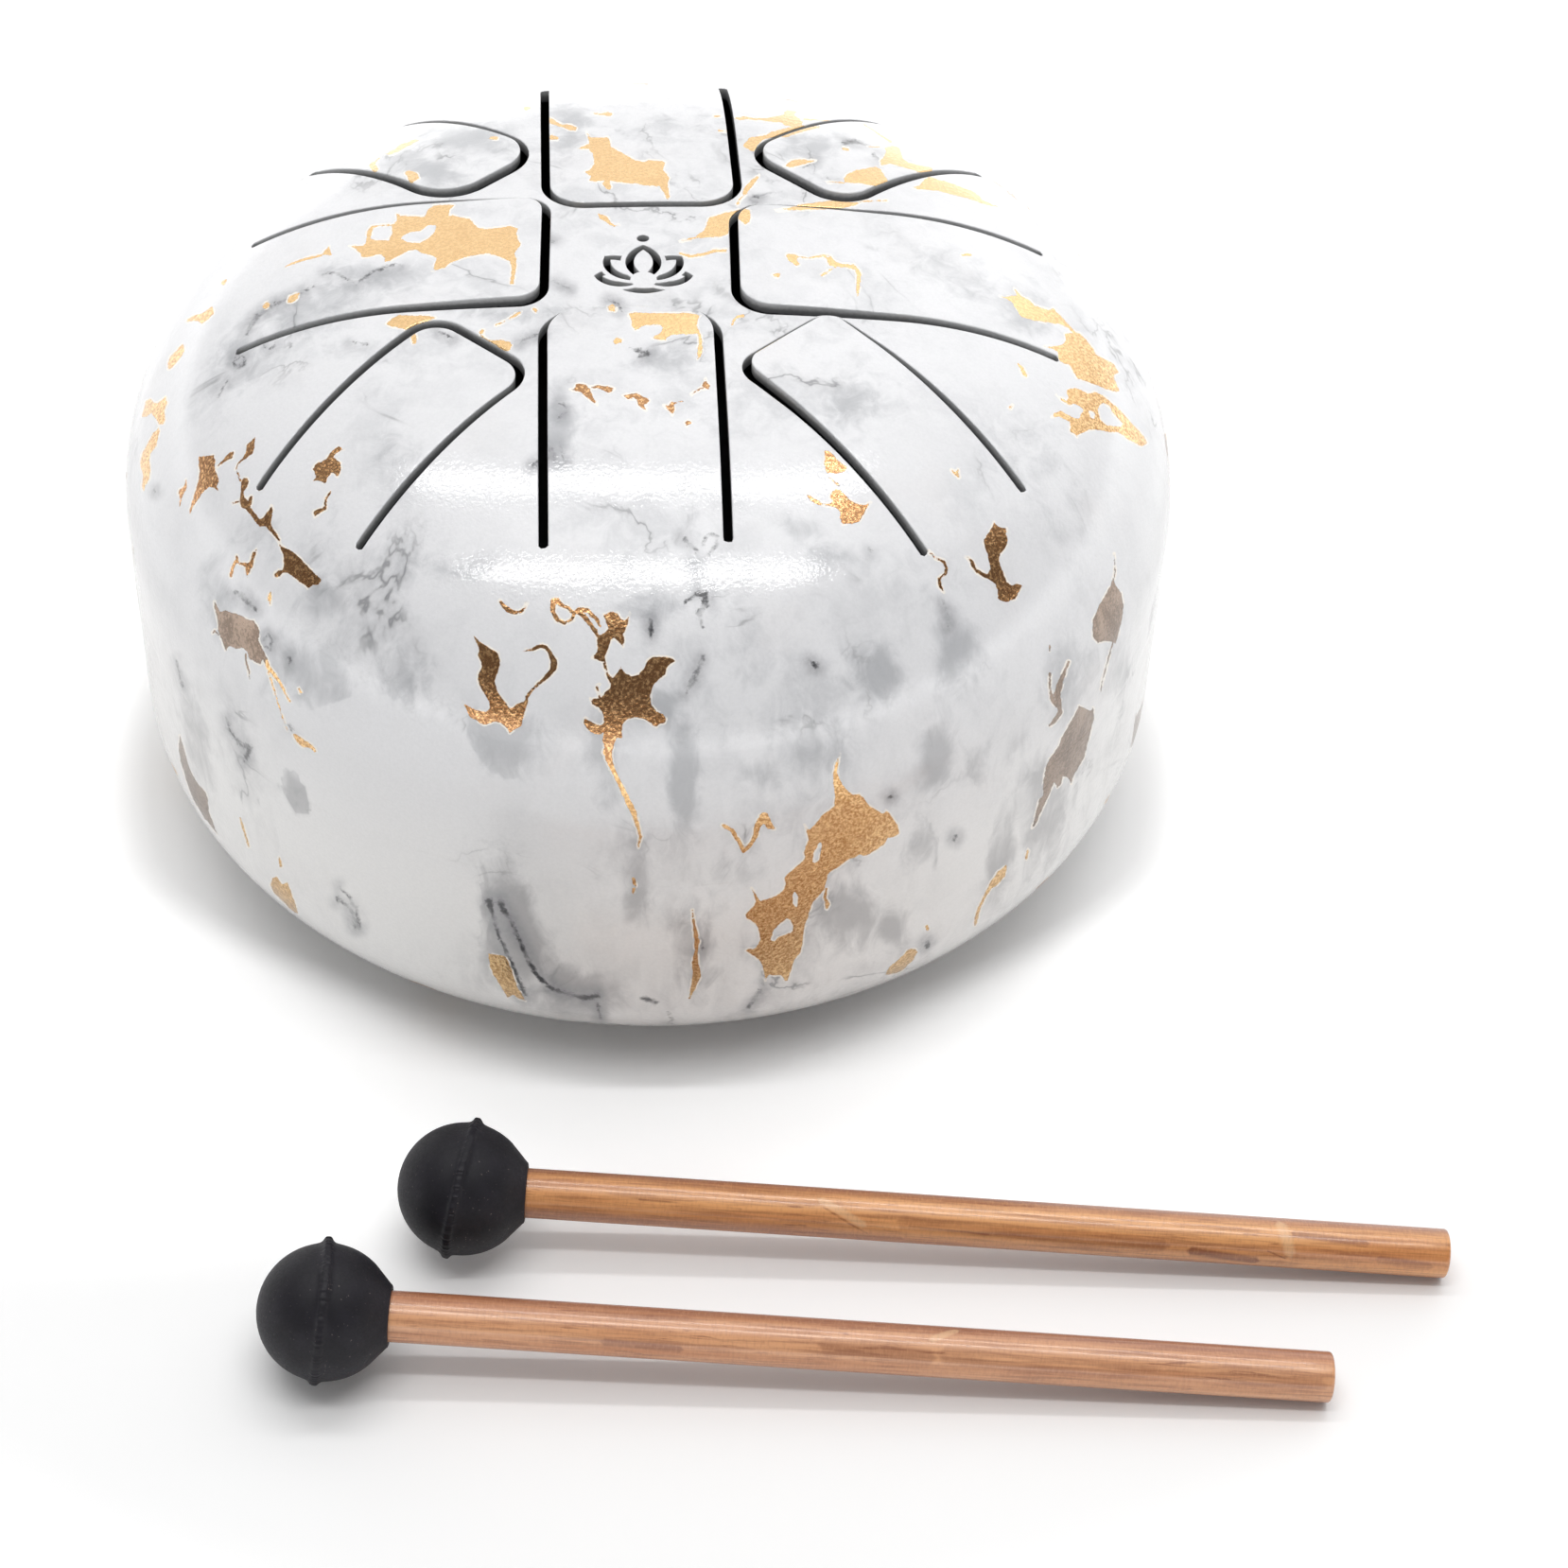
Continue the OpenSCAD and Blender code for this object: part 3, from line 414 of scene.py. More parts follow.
# Dark veins, in the same way.
DARK_VEINS = (
    (341, 290, 0.7, 352, 288, 1.1, 359, 291, 1.8, 365, 294, 1.1, 377, 301, 0.7, 382, 296, 1.8,
     396, 286, 1.5, 404, 284, 3, 409, 282, 1.5, 417, 279, 0.9, 426, 282, 1.5),
    (334, 303, 0.7, 317, 308, 0.4),
    (261, 353, 1.5, 270, 337, 2, 287, 323, 1.5, 291, 319, 0.7),
    (279, 362, 0.9, 280, 367, 1.1, 285, 369, 1.3, 290, 366, 1.1, 291, 362, 0.7),
    (248, 377, 0.9, 247, 384, 1.1, 251, 390, 1.1, 257, 386, 1.7, 259, 380, 1.3, 258, 377, 0.9,
     252, 376, 0.7),
    (372, 362, 0.7, 380, 363, 1.5, 387, 363, 0.7),
    (583, 255, 1, 589, 257, 0.6),
    (585, 296, 0.8, 594, 302, 1.1, 604, 306, 0.6),
    (464, 351, 1, 472, 354, 1.7, 479, 358, 1.5),
    (549, 363, 1.1, 556, 358, 1.1, 573, 353, 1.5),
    (642, 317, 1.1, 653, 321, 1.5, 659, 333, 1.5),
    (796, 208, 1.7, 801, 208, 2.2),
    (849, 177, 1.1, 854, 174, 1.5, 862, 170, 0.7),
    (893, 151, 3, 904, 149, 2.6, 917, 154, 1.1),
    (923, 163, 1.7, 928, 168, 1.5),
    (664, 368, 1.5, 679, 372, 3.3, 686, 375, 2.6, 675, 378, 1.7),
    (591, 427, 0.9, 596, 427, 1.1, 599, 431, 1.1, 598, 436, 0.9, 591, 442, 1.5),
    (592, 468, 0.9, 596, 486, 1.1, 598, 488, 0.9),
    (581, 473, 3.6, 584, 482, 4.4, 564, 492, 2.2),
    (723, 569, 2.9, 736, 582, 2.5),
    (744, 577, 1.8, 744, 570, 2.2, 751, 564, 2.2, 759, 567, 2.2, 758, 576, 2.2, 750, 585, 2.5),
    (723, 638, 1.7, 734, 629, 2.8, 745, 628, 4.5, 746, 640, 4.5, 738, 647, 2.4, 741, 653, 2.4,
     743, 664, 1.4),
    (688, 656, 2.2, 688, 665, 3.6, 689, 676, 1.5),
    (743, 695, 2.9, 739, 705, 2.2, 734, 718, 4.4, 728, 727, 2.2, 725, 735, 1.1),
    (863, 704, 3.6, 857, 698, 1.8),
    (517, 953, 4.4, 521, 967, 2.2, 526, 985, 2.2, 534, 1004, 2.2, 545, 1029, 2.9, 555, 1051, 2.9),
    (529, 953, 3.3, 532, 962, 3.3, 539, 971, 2.2, 557, 1011, 2.9, 566, 1029, 3.3, 581, 1044, 2.5,
     599, 1051, 2.2, 617, 1055, 3.6, 632, 1053, 2.9),
    (632, 1062, 1.8, 635, 1076, 1.8),
    (679, 1055, 2.9, 694, 1060, 2.9),
    (708, 1071, 1.1, 712, 1076, 1.1, 710, 1082, 1.1),
    (803, 1047, 2.2, 792, 1064, 2.5),
    (357, 949, 1.8, 370, 960, 1.8, 377, 980, 3.3),
    (249, 626, 2.7, 256, 630, 3.6, 263, 638, 2.7, 271, 645, 2),
    (279, 676, 1.3, 283, 671, 1.7, 288, 676, 1.7, 286, 686, 1.7, 281, 684, 1.3),
    (239, 759, 1, 243, 772, 1.7, 253, 786, 2.7, 264, 791, 3.3, 259, 805, 2.7),
    (306, 696, 2, 307, 703, 1.3),
    (307, 767, 2.7, 309, 771, 2.7),
    (359, 938, 1.3, 369, 948, 2, 377, 961, 2.3, 379, 981, 2.7),
    (356, 951, 1.3, 357, 953, 1.3),
    (187, 699, 1.3, 190, 719, 1.3, 193, 725, 1.7),
    (162, 518, 1.8, 163, 520, 1.5),
    (262, 350, 2.2, 271, 335, 2.2, 278, 329, 1.5, 289, 323, 1.5, 315, 311, 0.7, 333, 303, 0.7),
    (247, 387, 0.9, 248, 381, 1.1, 253, 379, 0.9, 259, 382, 1.5, 258, 387, 2.2, 253, 386, 1.5),
    (370, 362, 0.9, 381, 363, 1.7, 389, 364, 0.7),
    (230, 422, 0.9, 234, 413, 1.1, 241, 402, 0.9),
    (920, 581, 2.1, 922, 583, 2.1),
    (864, 703, 3.1, 860, 700, 1.7),
    (941, 842, 2.1, 943, 843, 1.4),
    (996, 633, 1, 1003, 653, 1, 1003, 664, 0.7),
    (941, 843, 2.6, 943, 842, 1.6),
    (1011, 884, 1.9, 1009, 888, 1.9),
    (981, 998, 3.2, 980, 1002, 2.6),
    (741, 993, 2.2, 743, 1002, 2.9),
    (706, 1071, 1.3, 710, 1079, 1.3, 706, 1082, 1),
)


# the lacquer's pattern

def near(px, outline, margin):
    """Numbers of the pixels within a margin of an outline's box."""
    low, high = outline.min(0) - margin, outline.max(0) + margin
    return np.flatnonzero(((px > low) & (px < high)).all(1))


def from_lines(px, starts, ends, widths=None):
    """Distance to the nearest of some lines, or how far within their widths."""
    way = ends - starts
    share = ((px[:, None] - starts) * way).sum(2) / np.maximum((way * way).sum(1), 1e-9)
    share = np.clip(share, 0, 1)
    gap = np.linalg.norm(px[:, None] - starts - share[..., None] * way, axis=2)
    if widths is None:
        return gap.min(1)
    return (widths[:-1] + share * np.diff(widths) - gap).max(1)


def patch_field(px, outline, margin):
    outline = np.array(outline, float).reshape(-1, 2)
    at = near(px, outline, margin)
    gap = from_lines(px[at], outline, np.roll(outline, -1, 0))
    return at, np.where(inside(px[at], outline), gap, -gap)


def stroke_field(px, margin, threads, patches=(), holes=()):
    """Pixels within (above 0) or outside (below 0) the strokes, known as far out as the margin."""
    field = np.full(len(px), -float(margin))
    for outline in patches:
        at, value = patch_field(px, outline, margin)
        field[at] = np.maximum(field[at], value)
    for outline in holes:
        at, value = patch_field(px, outline, margin)
        field[at] = np.minimum(field[at], -value)
    for line in threads:
        line = np.array(line, float).reshape(-1, 3)
        at = near(px, line[:, :2], margin + line[:, 2].max())
        value = from_lines(px[at], line[:-1, :2], line[1:, :2], line[:, 2])
        field[at] = np.maximum(field[at], value)
    return field


def cloud_field(px):
    cloud = np.zeros(len(px))
    for x, y, wide, high, lean, depth in GREY_CLOUDS:
        cos, sin = math.cos(math.radians(lean)), math.sin(math.radians(lean))
        dx, dy = px[:, 0] - x, px[:, 1] - y
        u, v = dx * cos + dy * sin, dy * cos - dx * sin
        spread = depth * np.exp(-(u / wide) ** 2 - (v / high) ** 2)
        cloud = np.where(np.abs(spread) > np.abs(cloud), spread, cloud)
    return cloud


# Strokes that are browner or more mauve than the rest, by the start of their names.
# The brown is partly the print's own tone and partly painted shade: the dark room in front that the gold on
# the front of the drum mirrors.
BROWN_GOLD = ("crook", "fleck_top", "ring", "upper_blob", "neck", "main_blob", "curl", "left_leaf", "left_h",
              "right_hook", "slit_thread", "shoulder", "tongue_fl", "bat", "under_slit", "front_4", "front_5",
              "front_6", "front_7", "front_8", "front_9", "front_10")
MAUVE_GOLD = ("right_mauve", "right_fork", "right_pink", "left_low_pink", "left_tan")
# How far out in pixels the fields of gold, veins and tone are known, and how far out a stroke gives its tone.
GOLD_MARGIN, VEIN_MARGIN, TONE_MARGIN = 9, 14, 5
TONE_REACH = 4
# By how much the hidden side takes the pattern of the shown one turned round.
PATTERN_TURN = math.radians(130)
# How squarely a surface has to face the camera to take the pattern that the photograph shows there, and
# how many mm a difference of 1 in that counts as.
FACING_LEAST, FACING_MM = 0.12, 60
# Underneath, the share of a point's distance from the axis at which it takes the top's pattern, and the most
# room in mm that it has there.
UNDER_SCALE, UNDER_ROOM = 0.75, 9
# How far in mm from a change of pattern the clouds begin to fade.
CLOUD_FADE = 6


def pattern_places(points, normals):
    """The pixel whose pattern a point takes, and how far in mm it is from where that choice changes.
    What the photograph doesn't show takes the pattern of the shown side, turned round, or of the top."""
    px, facing = photo_view(points, normals)
    room = (facing - FACING_LEAST) * FACING_MM
    around = np.arctan2(points[:, 0], -points[:, 1])
    hidden = facing < FACING_LEAST
    turn = np.where(around > 0, -PATTERN_TURN, PATTERN_TURN)
    cos, sin = np.cos(turn), np.sin(turn)
    turned = [np.column_stack([a[:, 0] * cos - a[:, 1] * sin, a[:, 0] * sin + a[:, 1] * cos, a[:, 2]])
              for a in (points, normals)]
    px_turned, facing_turned = photo_view(*turned)
    r = np.hypot(*points[:, :2].T)
    seam = (math.pi - np.abs(around)) * r
    room_turned = np.minimum(np.minimum((facing_turned - FACING_LEAST) * FACING_MM, -room), seam)
    under = hidden & (facing_turned < FACING_LEAST)
    s = np.where(normals[:, 2] < -0.999, r, lower_profile(0, SEAM_Z).height(points[:, 2]))
    flat = points[:, :2] * (UNDER_SCALE * s / np.maximum(r, 1e-9))[:, None] * (-1, 1)
    px_under = photo_view(*upper_profile(0, SEAM_Z).place(flat))[0]
    room_under = np.minimum((FACING_LEAST - facing_turned) * FACING_MM, -room)
    px = np.where(hidden[:, None], px_turned, px)
    room = np.where(hidden, room_turned, room)
    px = np.where(under[:, None], px_under, px)
    room = np.where(under, np.minimum(room_under, UNDER_ROOM), room)
    return px, room


def marble_pattern(points, normals):
    """Gold and dark veins as mm within their outlines, the grey clouds' depth and the gold's tone."""
    px, room = pattern_places(points, normals)
    px_size = np.linalg.norm(points - np.array(CAMERA_AT), axis=1) / FOCAL_PX
    gold = stroke_field(px, GOLD_MARGIN, GOLD_THREADS.values(), GOLD_PATCHES.values(), GOLD_HOLES) * px_size
    tone = np.zeros(len(px))
    for names, value in ((BROWN_GOLD, -1), (MAUVE_GOLD, 1)):
        threads, patches = ([stroke for name, stroke in strokes.items() if name.startswith(names)]
                            for strokes in (GOLD_THREADS, GOLD_PATCHES))
        tone[stroke_field(px, TONE_MARGIN, threads, patches) > -TONE_REACH] = value
    vein = stroke_field(px, VEIN_MARGIN, DARK_VEINS) * px_size
    cloud = cloud_field(px) * np.clip(room / CLOUD_FADE, 0, 1)
    return {"gold": np.minimum(gold, room), "vein": np.minimum(vein, room), "cloud": cloud, "tone": tone,
            "depth": wall_depth(points)}


# Distances in mm between points of the lacquer where it is plain and where gold or a vein begins, what plain
# points keep clear of the others as a share of the second, and how near an outline counts as its beginning.
OPEN_STEP, CLOSE_STEP, OPEN_CLEAR = 1.2, 0.36, 0.8
GOLD_NEAR, VEIN_NEAR = 0.5, 0.45


def detail_grid(profile):
    """Points all over a profile, close together where gold or a vein begins."""
    flat = hex_grid(profile.s[-1], CLOSE_STEP)
    found = marble_pattern(*profile.place(flat))
    close = (np.abs(found["gold"]) < GOLD_NEAR) | (np.abs(found["vein"]) < VEIN_NEAR)
    open_grid = clear_of(hex_grid(profile.s[-1], OPEN_STEP), flat[close], CLOSE_STEP * OPEN_CLEAR)
    return np.vstack([open_grid, flat[close]])


# meshes

def circle(count):
    """Points all round a circle of radius 1."""
    turn = np.arange(count) * 2 * math.pi / count
    return np.column_stack([np.cos(turn), np.sin(turn)])


def numbered(loops):
    """The numbers of each loop's points, when the loops follow one another."""
    starts = np.cumsum([0] + [len(loop) for loop in loops])
    return [list(range(a, b)) for a, b in zip(starts, starts[1:])]


class Sheet:
    """Collects points, and faces with a normal at every corner, and makes one mesh object of them."""

    def __init__(self):
        self.points, self.groups, self.count = [], [], 0

    def add(self, points):
        points = np.asarray(points, float)
        self.points.append(points)
        self.count += len(points)
        return np.arange(self.count - len(points), self.count)

    def face(self, corners, normals, slot):
        """Adds faces, one row of point numbers each, with a normal for every corner."""
        self.groups.append((np.asarray(corners), np.asarray(normals, float), slot))

    def strip(self, a, b, na, nb, slot):
        """Closes the band between two rings of as many points."""
        i, j = np.arange(len(a)), np.roll(np.arange(len(a)), -1)
        self.face(np.stack([a[i], a[j], b[j], b[i]], 1), np.stack([na[i], na[j], nb[j], nb[i]], 1), slot)

    def make(self, name, materials, fields):
        """Makes the object; fields(points, normals) gives what its points carry for the materials."""
        at = np.concatenate(self.points)
        corners, normals, starts, slots = [], [], [], []
        for face, normal, slot in self.groups:
            p = at[face]
            way = np.cross(p[:, 1] - p[:, 0], p[:, 2] - p[:, 0])
            if face.shape[1] == 4:
                way = np.cross(p[:, 2] - p[:, 0], p[:, 3] - p[:, 1])
            back = (way * normal.mean(1)).sum(1) < 0
            face[back], normal[back] = face[back][:, ::-1], normal[back][:, ::-1]
            corners.append(face.ravel())
            normals.append(normal.reshape(-1, 3))
            starts.append(np.full(len(face), face.shape[1]))
            slots.append(np.full(len(face), slot))
        corners, normals = np.concatenate(corners), np.concatenate(normals)
        sizes, slots = np.concatenate(starts), np.concatenate(slots)
        used, corners = np.unique(corners, return_inverse=True)
        fronts = np.zeros((len(used), 3))
        shown = np.repeat(slots, sizes) == 0
        np.add.at(fronts, corners[shown], normals[shown])
        fronts /= np.maximum(np.linalg.norm(fronts, axis=1), 1e-9)[:, None]
        mesh = bpy.data.meshes.new(name)
        mesh.vertices.add(len(used))
        mesh.vertices.foreach_set("co", (at[used] * MM).ravel())
        mesh.loops.add(len(corners))
        mesh.loops.foreach_set("vertex_index", corners.astype(np.int32))
        mesh.polygons.add(len(sizes))
        mesh.polygons.foreach_set("loop_start", (np.cumsum(sizes) - sizes).astype(np.int32))
        mesh.polygons.foreach_set("material_index", slots.astype(np.int32))
        mesh.update(calc_edges=True)
        mesh.shade_smooth()
        lengths = np.linalg.norm(normals, axis=1)[:, None]
        mesh.normals_split_custom_set((normals / lengths).tolist())
        for field, values in fields(at[used], fronts).items():
            mesh.attributes.new(field, "FLOAT", "POINT").data.foreach_set("value", values.astype(np.float32))
        for material in materials:
            mesh.materials.append(material)
        return new_object(name, mesh)


def turned(name, outline, material, count, form, sharp):
    """Turns an outline of (radius, height) points about Z; form(turns, r, z) may vary both round the ring.
    Edges that turn by more than sharp degrees stay sharp."""
    turns = np.arange(count) * 2 * math.pi / count
    points = []
    for r, z in outline:
        r, z = form(turns, r, z) if form else (r, z)
        points.append(np.column_stack([r * np.cos(turns), r * np.sin(turns), z + 0 * turns]))
    i = np.arange(count)
    j = np.roll(i, -1)
    starts = range(0, count * (len(outline) - 1), count)
    faces = [np.stack([k + i, k + j, k + count + j, k + count + i], 1) for k in starts]
    mesh = bpy.data.meshes.new(name)
    mesh.from_pydata((np.concatenate(points) * MM).tolist(), [], np.concatenate(faces).tolist())
    mesh.shade_smooth()
    mesh.set_sharp_from_angle(angle=math.radians(sharp))
    mesh.materials.append(material)
    return new_object(name, mesh)


# the shells' surfaces

# Distance in mm between the places along a profile at which it is known.
PROFILE_STEP = 0.1


def arc(centre, radius, start, end, inset):
    """Radius, height and turn from the vertical along an arc."""
    turn = np.linspace(start, end, int(abs(end - start) * radius / PROFILE_STEP) + 2)
    radius -= inset
    return np.stack([centre[0] + radius * np.sin(turn), centre[1] + radius * np.cos(turn), turn], 1)


def straight(start, end, turn, inset):
    start, end = np.array(start), np.array(end)
    share = np.linspace(0, 1, int(math.dist(start, end) / PROFILE_STEP) + 2)[:, None]
    line = start + share * (end - start) - inset * np.array([math.sin(turn), math.cos(turn)])
    return np.column_stack([line, np.full(len(line), turn)])


SHOULDER_WAY = np.array([math.sin(SHOULDER_TURN), math.cos(SHOULDER_TURN)])
DOME_TURN = math.asin((DRUM_R - HAUNCH_R - (SHOULDER_R - HAUNCH_R) * SHOULDER_WAY[0]) / (DOME_R - SHOULDER_R))
DOME_C = np.array([0, SHELL_H - DOME_R])
SHOULDER_C = DOME_C + (DOME_R - SHOULDER_R) * np.array([math.sin(DOME_TURN), math.cos(DOME_TURN)])
HAUNCH_C = SHOULDER_C + (SHOULDER_R - HAUNCH_R) * SHOULDER_WAY
SEAM_Z = HAUNCH_C[1] - SKIRT_H


class Profile:
    """Radius, height and turn of a shell's surface by the distance from the axis along it."""

    def __init__(self, rows):
        rows = np.concatenate(rows)
        step = np.hypot(*np.diff(rows[:, :2], axis=0).T)
        rows = rows[np.r_[True, step > 1e-9]]
        self.rows = rows
        self.s = np.r_[0, np.cumsum(np.hypot(*np.diff(rows[:, :2], axis=0).T))]

    def at(self, s):
        return [np.interp(s, self.s, self.rows[:, k]) for k in range(3)]

    def find(self, r):
        """Distance along the surface at which it has that radius, on its part over or under the chamber."""
        grows = np.maximum.accumulate(self.rows[:, 0] + 1e-9 * np.arange(len(self.rows)))
        return np.interp(r, grows, self.s)

    def height(self, z):
        """Distance along the surface of that height, on the wall."""
        order = np.argsort(self.rows[:, 1])
        return np.interp(z, self.rows[order, 1], self.s[order])

    def place(self, flat):
        """Points and normals for unrolled points."""
        s, turn = np.hypot(*flat.T), np.arctan2(flat[:, 1], flat[:, 0])
        r, z, tilt = self.at(s)
        cos, sin = np.cos(turn), np.sin(turn)
        return (np.stack([r * cos, r * sin, z], 1),
                np.stack([np.sin(tilt) * cos, np.sin(tilt) * sin, np.cos(tilt)], 1))

    def unroll(self, plan):
        r = np.hypot(*plan.T)
        return plan * (self.find(r) / np.maximum(r, 1e-9))[:, None]


def upper_profile(inset, end):
    return Profile([
        arc(DOME_C, DOME_R, 0, DOME_TURN, inset),
        arc(SHOULDER_C, SHOULDER_R, DOME_TURN, SHOULDER_TURN, inset),
        arc(HAUNCH_C, HAUNCH_R, SHOULDER_TURN, math.pi / 2, inset),
        straight((DRUM_R, HAUNCH_C[1]), (DRUM_R, end), math.pi / 2, inset)])


def lower_profile(inset, end):
    low = DRUM_R - BASE_R
    return Profile([
        straight((0, 0), (low, 0), math.pi, inset),
        arc((low, BASE_R), BASE_R, math.pi, math.pi / 2, inset),
        straight((DRUM_R, BASE_R), (DRUM_R, end), math.pi / 2, inset)])


def inside(points, loop):
    """Which of the points lie inside a closed loop."""
    x, y = points.T
    found = np.zeros(len(points), bool)
    for (ax, ay), (bx, by) in zip(loop, np.roll(loop, -1, 0)):
        if ay != by:
            found ^= ((ay > y) != (by > y)) & (x < (bx - ax) * (y - ay) / (by - ay) + ax)
    return found


def area(loop):
    nxt = np.roll(loop, -1, 0)
    return (loop[:, 0] * nxt[:, 1] - nxt[:, 0] * loop[:, 1]).sum() / 2


# How much a loop has to turn at a point, in radians, for a corner, and more than any point turns.
CORNER_TURN, NO_CORNER = math.radians(25), 9
# Loops smaller than this, in square mm, are left out.
LEAST_AREA = 0.2


def evened(loop, step, keep=CORNER_TURN):
    """A loop, counter-clockwise, with its points about a step apart and its corners kept."""
    if area(loop) < 0:
        loop = loop[::-1]
    loop = loop[np.linalg.norm(loop - np.roll(loop, 1, 0), axis=1) > 0.02]
    before, after = loop - np.roll(loop, 1, 0), np.roll(loop, -1, 0) - loop
    bend = np.abs(np.angle((after[:, 0] + 1j * after[:, 1]) / (before[:, 0] + 1j * before[:, 1])))
    corners = np.flatnonzero(bend > keep)
    if len(corners) == 0:
        corners = np.array([0])
    loop = np.roll(loop, -corners[0], 0)
    marks = list(corners - corners[0]) + [len(loop)]
    loop = np.vstack([loop, loop[:1]])
    result = []
    for first, last in zip(marks, marks[1:]):
        part = loop[first:last + 1]
        along = np.r_[0, np.cumsum(np.linalg.norm(np.diff(part, axis=0), axis=1))]
        count = max(1, round(along[-1] / step))
        places = np.arange(count) * along[-1] / count
        result.append(np.column_stack([np.interp(places, along, part[:, k]) for k in range(2)]))
    return np.vstack(result)


# How many times as long as elsewhere the way outward may be at a loop's corner.
CORNER_REACH = 1.4


def outward(loop):
    """Directions away from the inside of a counter-clockwise loop, longer at its corners."""
    before, after = loop - np.roll(loop, 1, 0), np.roll(loop, -1, 0) - loop
    mixed = sum(np.column_stack([d[:, 1], -d[:, 0]]) / np.linalg.norm(d, axis=1)[:, None]
                for d in (before, after))
    return mixed / np.maximum((mixed * mixed).sum(1) / 2, 2 / CORNER_REACH ** 2)[:, None]


# tongues and the cut-out

def tongue_sizes(i):
    tip, root = DRUM_R * TONGUE_TIPS[i], DRUM_R * TONGUE_ROOTS[i]
    half_tip, half_root = DRUM_R * TONGUE_TIP_WIDTHS[i] / 2, DRUM_R * TONGUE_ROOT_WIDTHS[i] / 2
    return tip, root, half_tip, math.atan((half_root - half_tip) / (root - tip))


def tongue_axes(i):
    turn = math.radians(TONGUE_TURNS[i] - 90)
    return np.array([math.cos(turn), math.sin(turn)]), np.array([-math.sin(turn), math.cos(turn)])


def tongue_path(i, grow):
    """One tongue's free sides, larger by grow, from root round the tip to root."""
    tip, root, half_tip, flare = tongue_sizes(i)
    tip -= grow
    half_tip += grow / math.cos(flare) - grow * math.tan(flare)
    radius = CORNER_R * TONGUE_CORNERS[i] + grow
    corner_v = half_tip + radius * math.tan(flare) - radius / math.cos(flare)
    turns = np.linspace(math.pi / 2 + flare, math.pi, 15)
    side = np.column_stack([tip + radius + radius * np.cos(turns), corner_v + radius * np.sin(turns)])
    side = np.vstack([(root, half_tip + (root - tip) * math.tan(flare)), side])
    along, across = tongue_axes(i)
    path = np.vstack([side * (1, -1), side[::-1]])
    return path[:, :1] * along + (path[:, 1:] + DRUM_R * TONGUE_SHIFTS[i]) * across


def rounded_ends(loop, marks, radius):
    """Rounds the corners of a loop at the marked points."""
    result = []
    for k, at in enumerate(loop):
        if k not in marks:
            result.append(at)
            continue
        to_a, to_b = loop[k - 1] - at, loop[(k + 1) % len(loop)] - at
        a, b = at + radius * to_a / np.linalg.norm(to_a), at + radius * to_b / np.linalg.norm(to_b)
        for t in np.linspace(0, 1, 6):
            result.append((1 - t) ** 2 * a + 2 * t * (1 - t) * at + t * t * b)
    return np.array(result)


def slit_loop(i):
    wide, narrow = tongue_path(i, SLIT_W / 2), tongue_path(i, -SLIT_W / 2)
    count = len(wide)
    ends = (0, count - 1, count, 2 * count - 1)
    return evened(rounded_ends(np.vstack([wide, narrow[::-1]]), ends, SLIT_END_R), SLIT_STEP, NO_CORNER)


def tongue_lift(plan):
    """Height and slope by which tuning bent the tongues up, for points in plan."""
    lift, slope = np.zeros(len(plan)), np.zeros((len(plan), 2))
    for i, most in enumerate(TONGUE_LIFTS):
        tip, root, _, _ = tongue_sizes(i)
        along, _ = tongue_axes(i)
        share = np.clip((root - plan @ along) / (root - tip), 0, 1)
        share[~inside(plan, tongue_path(i, 0))] = 0
        lift += most * share ** 2 * (3 - share) / 2
        slope -= (most * (6 * share - 3 * share ** 2) / 2 / (root - tip))[:, None] * along
    return lift, slope


def wall_depth(points):
    """How deep in the sheet points lie, from 0 at its outer face to 1 at its inner one."""
    top = upper_profile(0, SEAM_Z)
    r = np.hypot(*points[:, :2].T)
    over = top.at(top.find(r))[1] + tongue_lift(points[:, :2])[0] - points[:, 2]
    return np.clip(np.where(points[:, 2] > SEAM_Z, over, points[:, 2]) / SHEET, 0, 1)


def ring_of(centre, radius, step=0.4):
    return np.array(centre) + radius * circle(max(12, int(2 * math.pi * radius / step)))


def petal_loop(i, grow):
    length, width = LOTUS_H * PETAL_LENGTHS[i] + 2 * grow, LOTUS_H * PETAL_WIDTHS[i] + 2 * grow
    radius = (length ** 2 + width ** 2) / (4 * width)
    half = math.asin(length / 2 / radius)
    turn = np.linspace(-half, half, 26)[:-1]
    side = np.column_stack([width / 2 - radius + radius * np.cos(turn),
                            length / 2 + radius * np.sin(turn) - grow])
    other = np.column_stack([-side[:, 0], length - 2 * grow - side[:, 1]])
    loop = np.vstack([side, other])
    lean = math.radians(-PETAL_TURNS[i])
    across, up = np.array([math.cos(lean), math.sin(lean)]), np.array([-math.sin(lean), math.cos(lean)])
    return loop[:, :1] * across + loop[:, 1:] * up + (0, LOTUS_H * LOTUS_FOOT)


def cut_loops(outline, cuts):
    """Loops round what is left of an outline when others are cut from it."""
    loops = [outline] + cuts
    points = [Vector(p) for loop in loops for p in loop]
    at, _, found, _, _, source = delaunay_2d_cdt(points, [], numbered(loops), 0, 1e-5, True)
    edges = {}
    for face, origin in zip(found, source):
        if origin == [0]:
            for a, b in zip(face, face[1:] + face[:1]):
                edges[(a, b)] = True
    following = {a: b for a, b in edges if (b, a) not in edges}
    result = []
    while following:
        start, at_now = following.popitem()
        chain = [start]
        while at_now != start:
            chain.append(at_now)
            at_now = following.pop(at_now)
        result.append(np.array([at[k][:] for k in chain]))
    return [loop for loop in result if abs(area(loop)) > LEAST_AREA]


